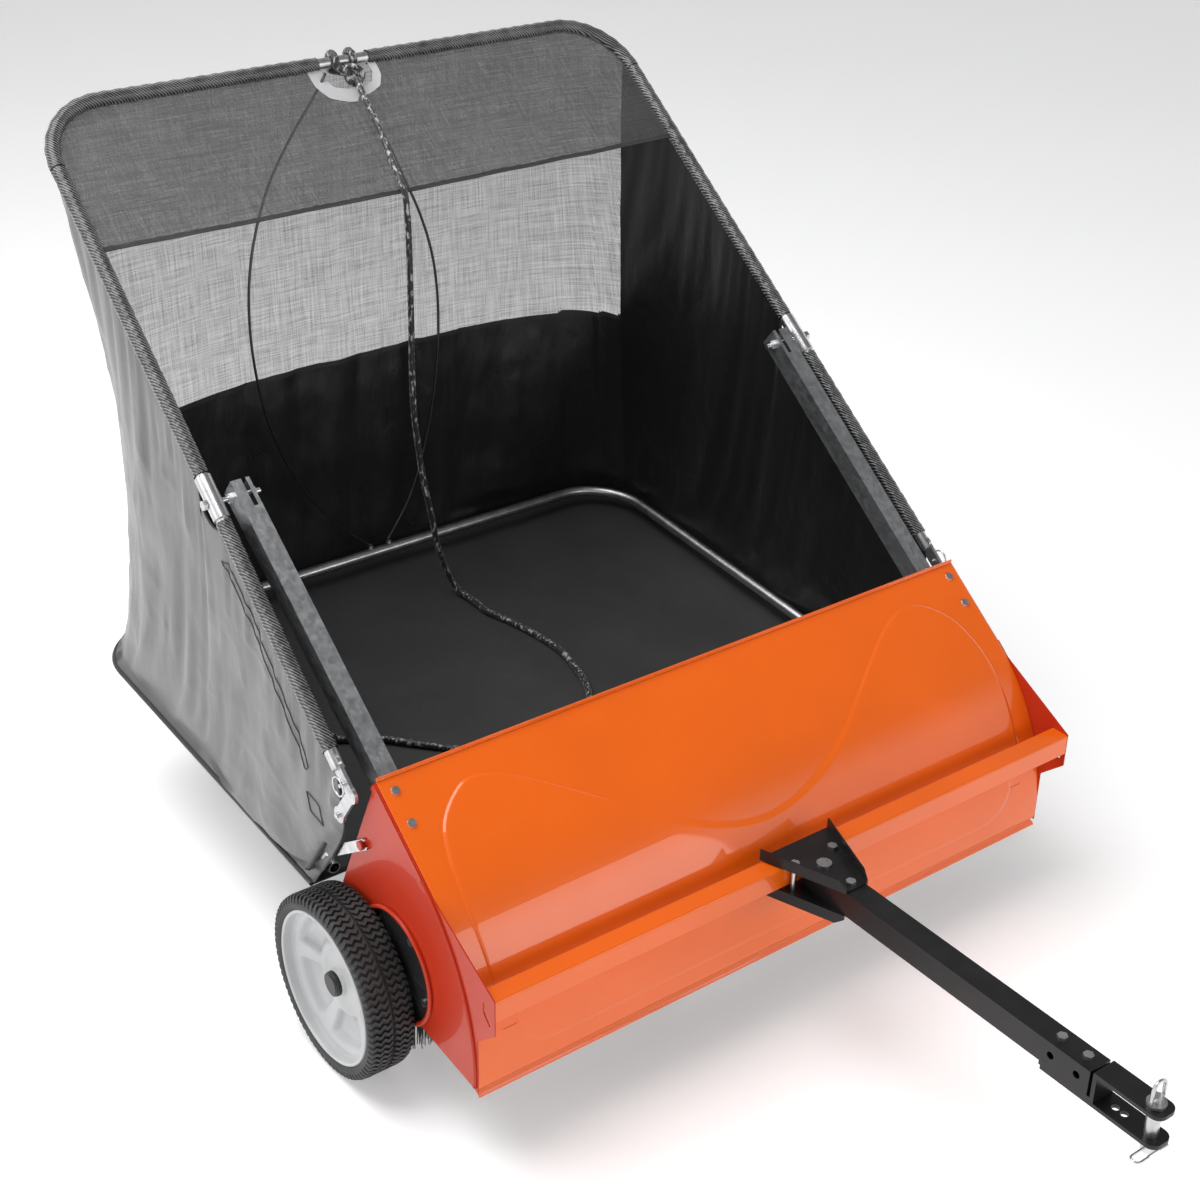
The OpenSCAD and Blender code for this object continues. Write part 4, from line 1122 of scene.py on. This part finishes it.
# Half the carcass as (distance from the middle plane, radius), and a tread block's stations as (distance,
# lag, outer radius, inner radius)
CARCASS = [(1.6, 133.8), (2.2, 136.2), (29, 135.2), (31, 134.6), (33, 133.6), (34.6, 132), (34, 131),
           (35.5, 128), (35.5, 124), (34, 120), (32, 117)]
BLOCK = [(2.6, 0.0, 139.9, 134.6), (9, 0.5, 139.9, 134.6), (15.5, 0.06, 139.9, 134.6),
         (22, 0.56, 139.9, 134.6), (28, 0.12, 139.3, 134.6), (33.6, 0.5, 137.3, 131.0),
         (35.7, 0.5, 130.9, 126.0)]


def wheel_point(sx, w, r, a):
    """A point w outboard of a wheel's middle plane, at radius r and angle a."""
    return V(sx * WHEEL_X + w, r * math.cos(a), WHEEL_Z + r * math.sin(a))


def tread_block(sx, row, base, first):
    """One slanted block's points, and its faces numbered from first."""
    step = 2 * math.pi / TREAD_PITCHES
    verts, faces = [], []
    for w, lag, top, foot in BLOCK:
        for frac, r in ((0, foot), (0.06, top), (BLOCK_SHARE - 0.06, top), (BLOCK_SHARE, foot)):
            verts.append(wheel_point(sx, row * w, r, base + step * (lag + frac)))
    for q in range(len(BLOCK) - 1):
        for c in range(3):
            i = first + q * 4 + c
            faces.append((i, i + 1, i + 5, i + 4))
    last = first + len(verts)
    faces += [(first + 3, first + 2, first + 1, first), (last - 4, last - 3, last - 2, last - 1)]
    return verts, faces if row > 0 else [f[::-1] for f in faces]


def build_tyre(sx, tag):
    """Carcass with a ribbed shoulder and two rows of slanted tread blocks."""
    n = 180
    profile = [(-w, r) for w, r in reversed(CARCASS)] + CARCASS
    verts = [wheel_point(sx, w, r, 2 * math.pi * i / n) for i in range(n) for w, r in profile]
    faces = grid_faces(n, len(profile), True, False, flip=sx > 0)
    for k in range(TREAD_PITCHES):
        for row in (-1, 1):
            base = 2 * math.pi * (k + (0.5 if row > 0 else 0)) / TREAD_PITCHES
            block_verts, block_faces = tread_block(sx, row, base, len(verts))
            verts += block_verts
            faces += block_faces
    ob = obj_from(f"tyre_tread_{tag}", verts, faces, RUBBER, f"wheel_{tag}", smooth=False)
    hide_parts(f"tyre_{tag}")


for sx, tag in SIDES:
    build_tyre(sx, tag)


# -------- rims
RECESS_DEPTH = 11.0


def build_rim(sx, tag):
    """Dished plastic rim with five soft kidney-shaped recesses."""
    front = [(r, float(np.interp(r, [20, 48, 84, 106, 114], [6, 2, 10, 18, 20]))) for r in range(22, 113, 3)]
    back = [(r, w - 6) for r, w in reversed(front[1:])]
    profile = [(9.3, -30), (9.3, 12), (19, 12), (20.5, 10), (21, 6.5)] + front
    profile += [(112.5, 21), (112.6, 30), (112.6, 33), (114.8, 35), (117.2, 33.5), (117.8, 31), (117.8, -31),
                (117.2, -33.5), (114.8, -35), (112.6, -33), (112.8, -29), (113, 13)] + back
    profile += [(24, -3), (24, -30)]
    n = 200
    verts = []
    for i in range(n):
        a = 2 * math.pi * i / n
        deg = (math.degrees(a) % 72) - 36
        for r, w in profile:
            if 50 < r < 104 and -12 < w < 20:
                side = math.radians(26 - abs(deg)) * r
                rim = smooth01((r - 54) / 11) * smooth01((101 - r) / 9)
                w -= RECESS_DEPTH * float(rim * smooth01(side / 9 + 0.4))
            verts.append(wheel_point(sx, sx * w, r, a))
    faces = grid_faces(n, len(profile), True, True, flip=sx < 0)
    ob = obj_from(f"dished_rim_{tag}", verts, faces, RIM, f"wheel_{tag}")
    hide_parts(f"rim_{tag}")


for sx, tag in SIDES:
    build_rim(sx, tag)


# -------- side plate edges
def arc_points(x, y, z, r, degrees):
    """Points of an arc in a plane across the machine."""
    return np.array([V(x, y + r * math.cos(a), z + r * math.sin(a)) for a in np.radians(degrees)])


edges = []
for sx in (1, -1):
    ring = arc_points(sx * 548, -85, 205, 87, np.linspace(0, 360, 97)[:-1])
    edges.append(tube(f"bead{sx}", ring, 0.0034, RED, "chassis", 12, True))
    arc = arc_points(sx * 546, *DRUM, 314.5, np.linspace(128, 184, 60))
    edges.append(tube(f"lip{sx}", arc, 0.0030, RED, "chassis", 10))
join("side_plate_edges", edges)


# -------- bristles
# The brush axis: its distance from the wheel's axis and the direction to it
GEAR_GAP = 81.25
GEAR_ANGLE = math.radians(145.5)


def bristle(x, u, w, q, rng):
    """Root, middle and tip of one bristle, as (y and z from the brush axis, x, radius)."""
    root = u * 64 + w * (q - 1) * 3.5
    tip = u * (162 + rng.uniform(-5, 2.5)) + w * ((q - 1) * 5.0 + rng.normal(0, 3.2))
    x_root, x_tip = x + rng.uniform(-0.8, 0.8), x + rng.normal(0, 3.0)
    mid = (root + tip) / 2 + w * rng.normal(0, 1.2)
    return (root, x_root, 1.5), (mid, (x_root + x_tip) / 2, 1.3), (tip, np.clip(x_tip, -514, 514), 0.8)


def build_bristles():
    """Six rows of tapering three-sided bristles."""
    rng = np.random.RandomState(7)
    axis = np.array([GEAR_GAP * math.cos(GEAR_ANGLE), WHEEL_Z + GEAR_GAP * math.sin(GEAR_ANGLE)])
    verts, faces = [], []
    for row in range(6):
        a = math.radians(30 + 60 * row)
        u = np.array([math.cos(a), math.sin(a)])
        w = np.array([-u[1], u[0]])
        for k in range(205 * 3):
            base = len(verts)
            for point, x, r in bristle(-512 + 5.02 * (k // 3), u, w, k % 3, rng):
                for b in (0, 2.094, 4.188):
                    y, z = axis + point + w * r * math.sin(b)
                    verts.append(V(x + r * math.cos(b), y, z))
            for level in (0, 3):
                for c in range(3):
                    i, j = base + level + c, base + level + (c + 1) % 3
                    faces.append((i, j, j + 3, i + 3))
            faces.append((base + 6, base + 7, base + 8))
    ob = obj_from("bristle_tufts", verts, faces, BRISTLE, "brush", smooth=False)
    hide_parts("bristle_rows")


build_bristles()


# -------- stage and light
def make_floor():
    """A plain white floor, slightly self-lit so that it fades into the background."""
    me = bpy.data.meshes.new("floor")
    bm = bmesh.new()
    bmesh.ops.create_grid(bm, x_segments=2, y_segments=2, size=14)
    bm.to_mesh(me)
    bm.free()
    floor = bpy.data.objects.new("floor", me)
    floor.location = (0, 0, -0.0005)
    bpy.context.scene.collection.objects.link(floor)
    m = Mat("floor_white", (0.93, 0.93, 0.935), 0.6)
    m.vary(m.noise(1.2, 2), 0.01)
    m.p.inputs["Emission Color"].default_value = (1, 1, 1, 1)
    m.p.inputs["Emission Strength"].default_value = 0.26
    me.materials.append(m.m)


def make_world():
    """White near the horizon and dim overhead, so that level faces stay dark in reflections."""
    world = bpy.data.worlds.new("studio")
    bpy.context.scene.world = world
    world.use_nodes = True
    nt = world.node_tree
    coords = nt.nodes.new("ShaderNodeTexCoord")
    split = nt.nodes.new("ShaderNodeSeparateXYZ")
    ramp = nt.nodes.new("ShaderNodeValToRGB")
    nt.links.new(coords.outputs["Generated"], split.inputs["Vector"])
    nt.links.new(split.outputs["Z"], ramp.inputs["Fac"])
    for element, position, grey in zip(ramp.color_ramp.elements, (0.34, 0.52), (1, 0.17)):
        element.position = position
        element.color = (grey, grey, grey, 1)
    nt.links.new(ramp.outputs["Color"], nt.nodes["Background"].inputs["Color"])
    nt.nodes["Background"].inputs["Strength"].default_value = 1.12


def area_light(name, loc, target, size, power):
    """A rectangular light that faces a target."""
    data = bpy.data.lights.new(name, "AREA")
    data.shape = "RECTANGLE"
    data.size, data.size_y = size
    data.energy = power
    light = bpy.data.objects.new(name, data)
    bpy.context.scene.collection.objects.link(light)
    light.location = loc
    light.rotation_mode = "QUATERNION"
    light.rotation_quaternion = (Vector(target) - Vector(loc)).to_track_quat("-Z", "Y")


make_floor()
make_world()
area_light("top_box", (-1.3, 1.2, 4.2), (0, 0.1, 0.4), (3.2, 3.2), 175)
area_light("left_box", (-4.2, 0.6, 2.0), (0, 0.2, 0.5), (2.4, 2.6), 20)
area_light("front_box", (1.2, -4.6, 1.9), (0, -0.1, 0.3), (3.0, 1.8), 40)
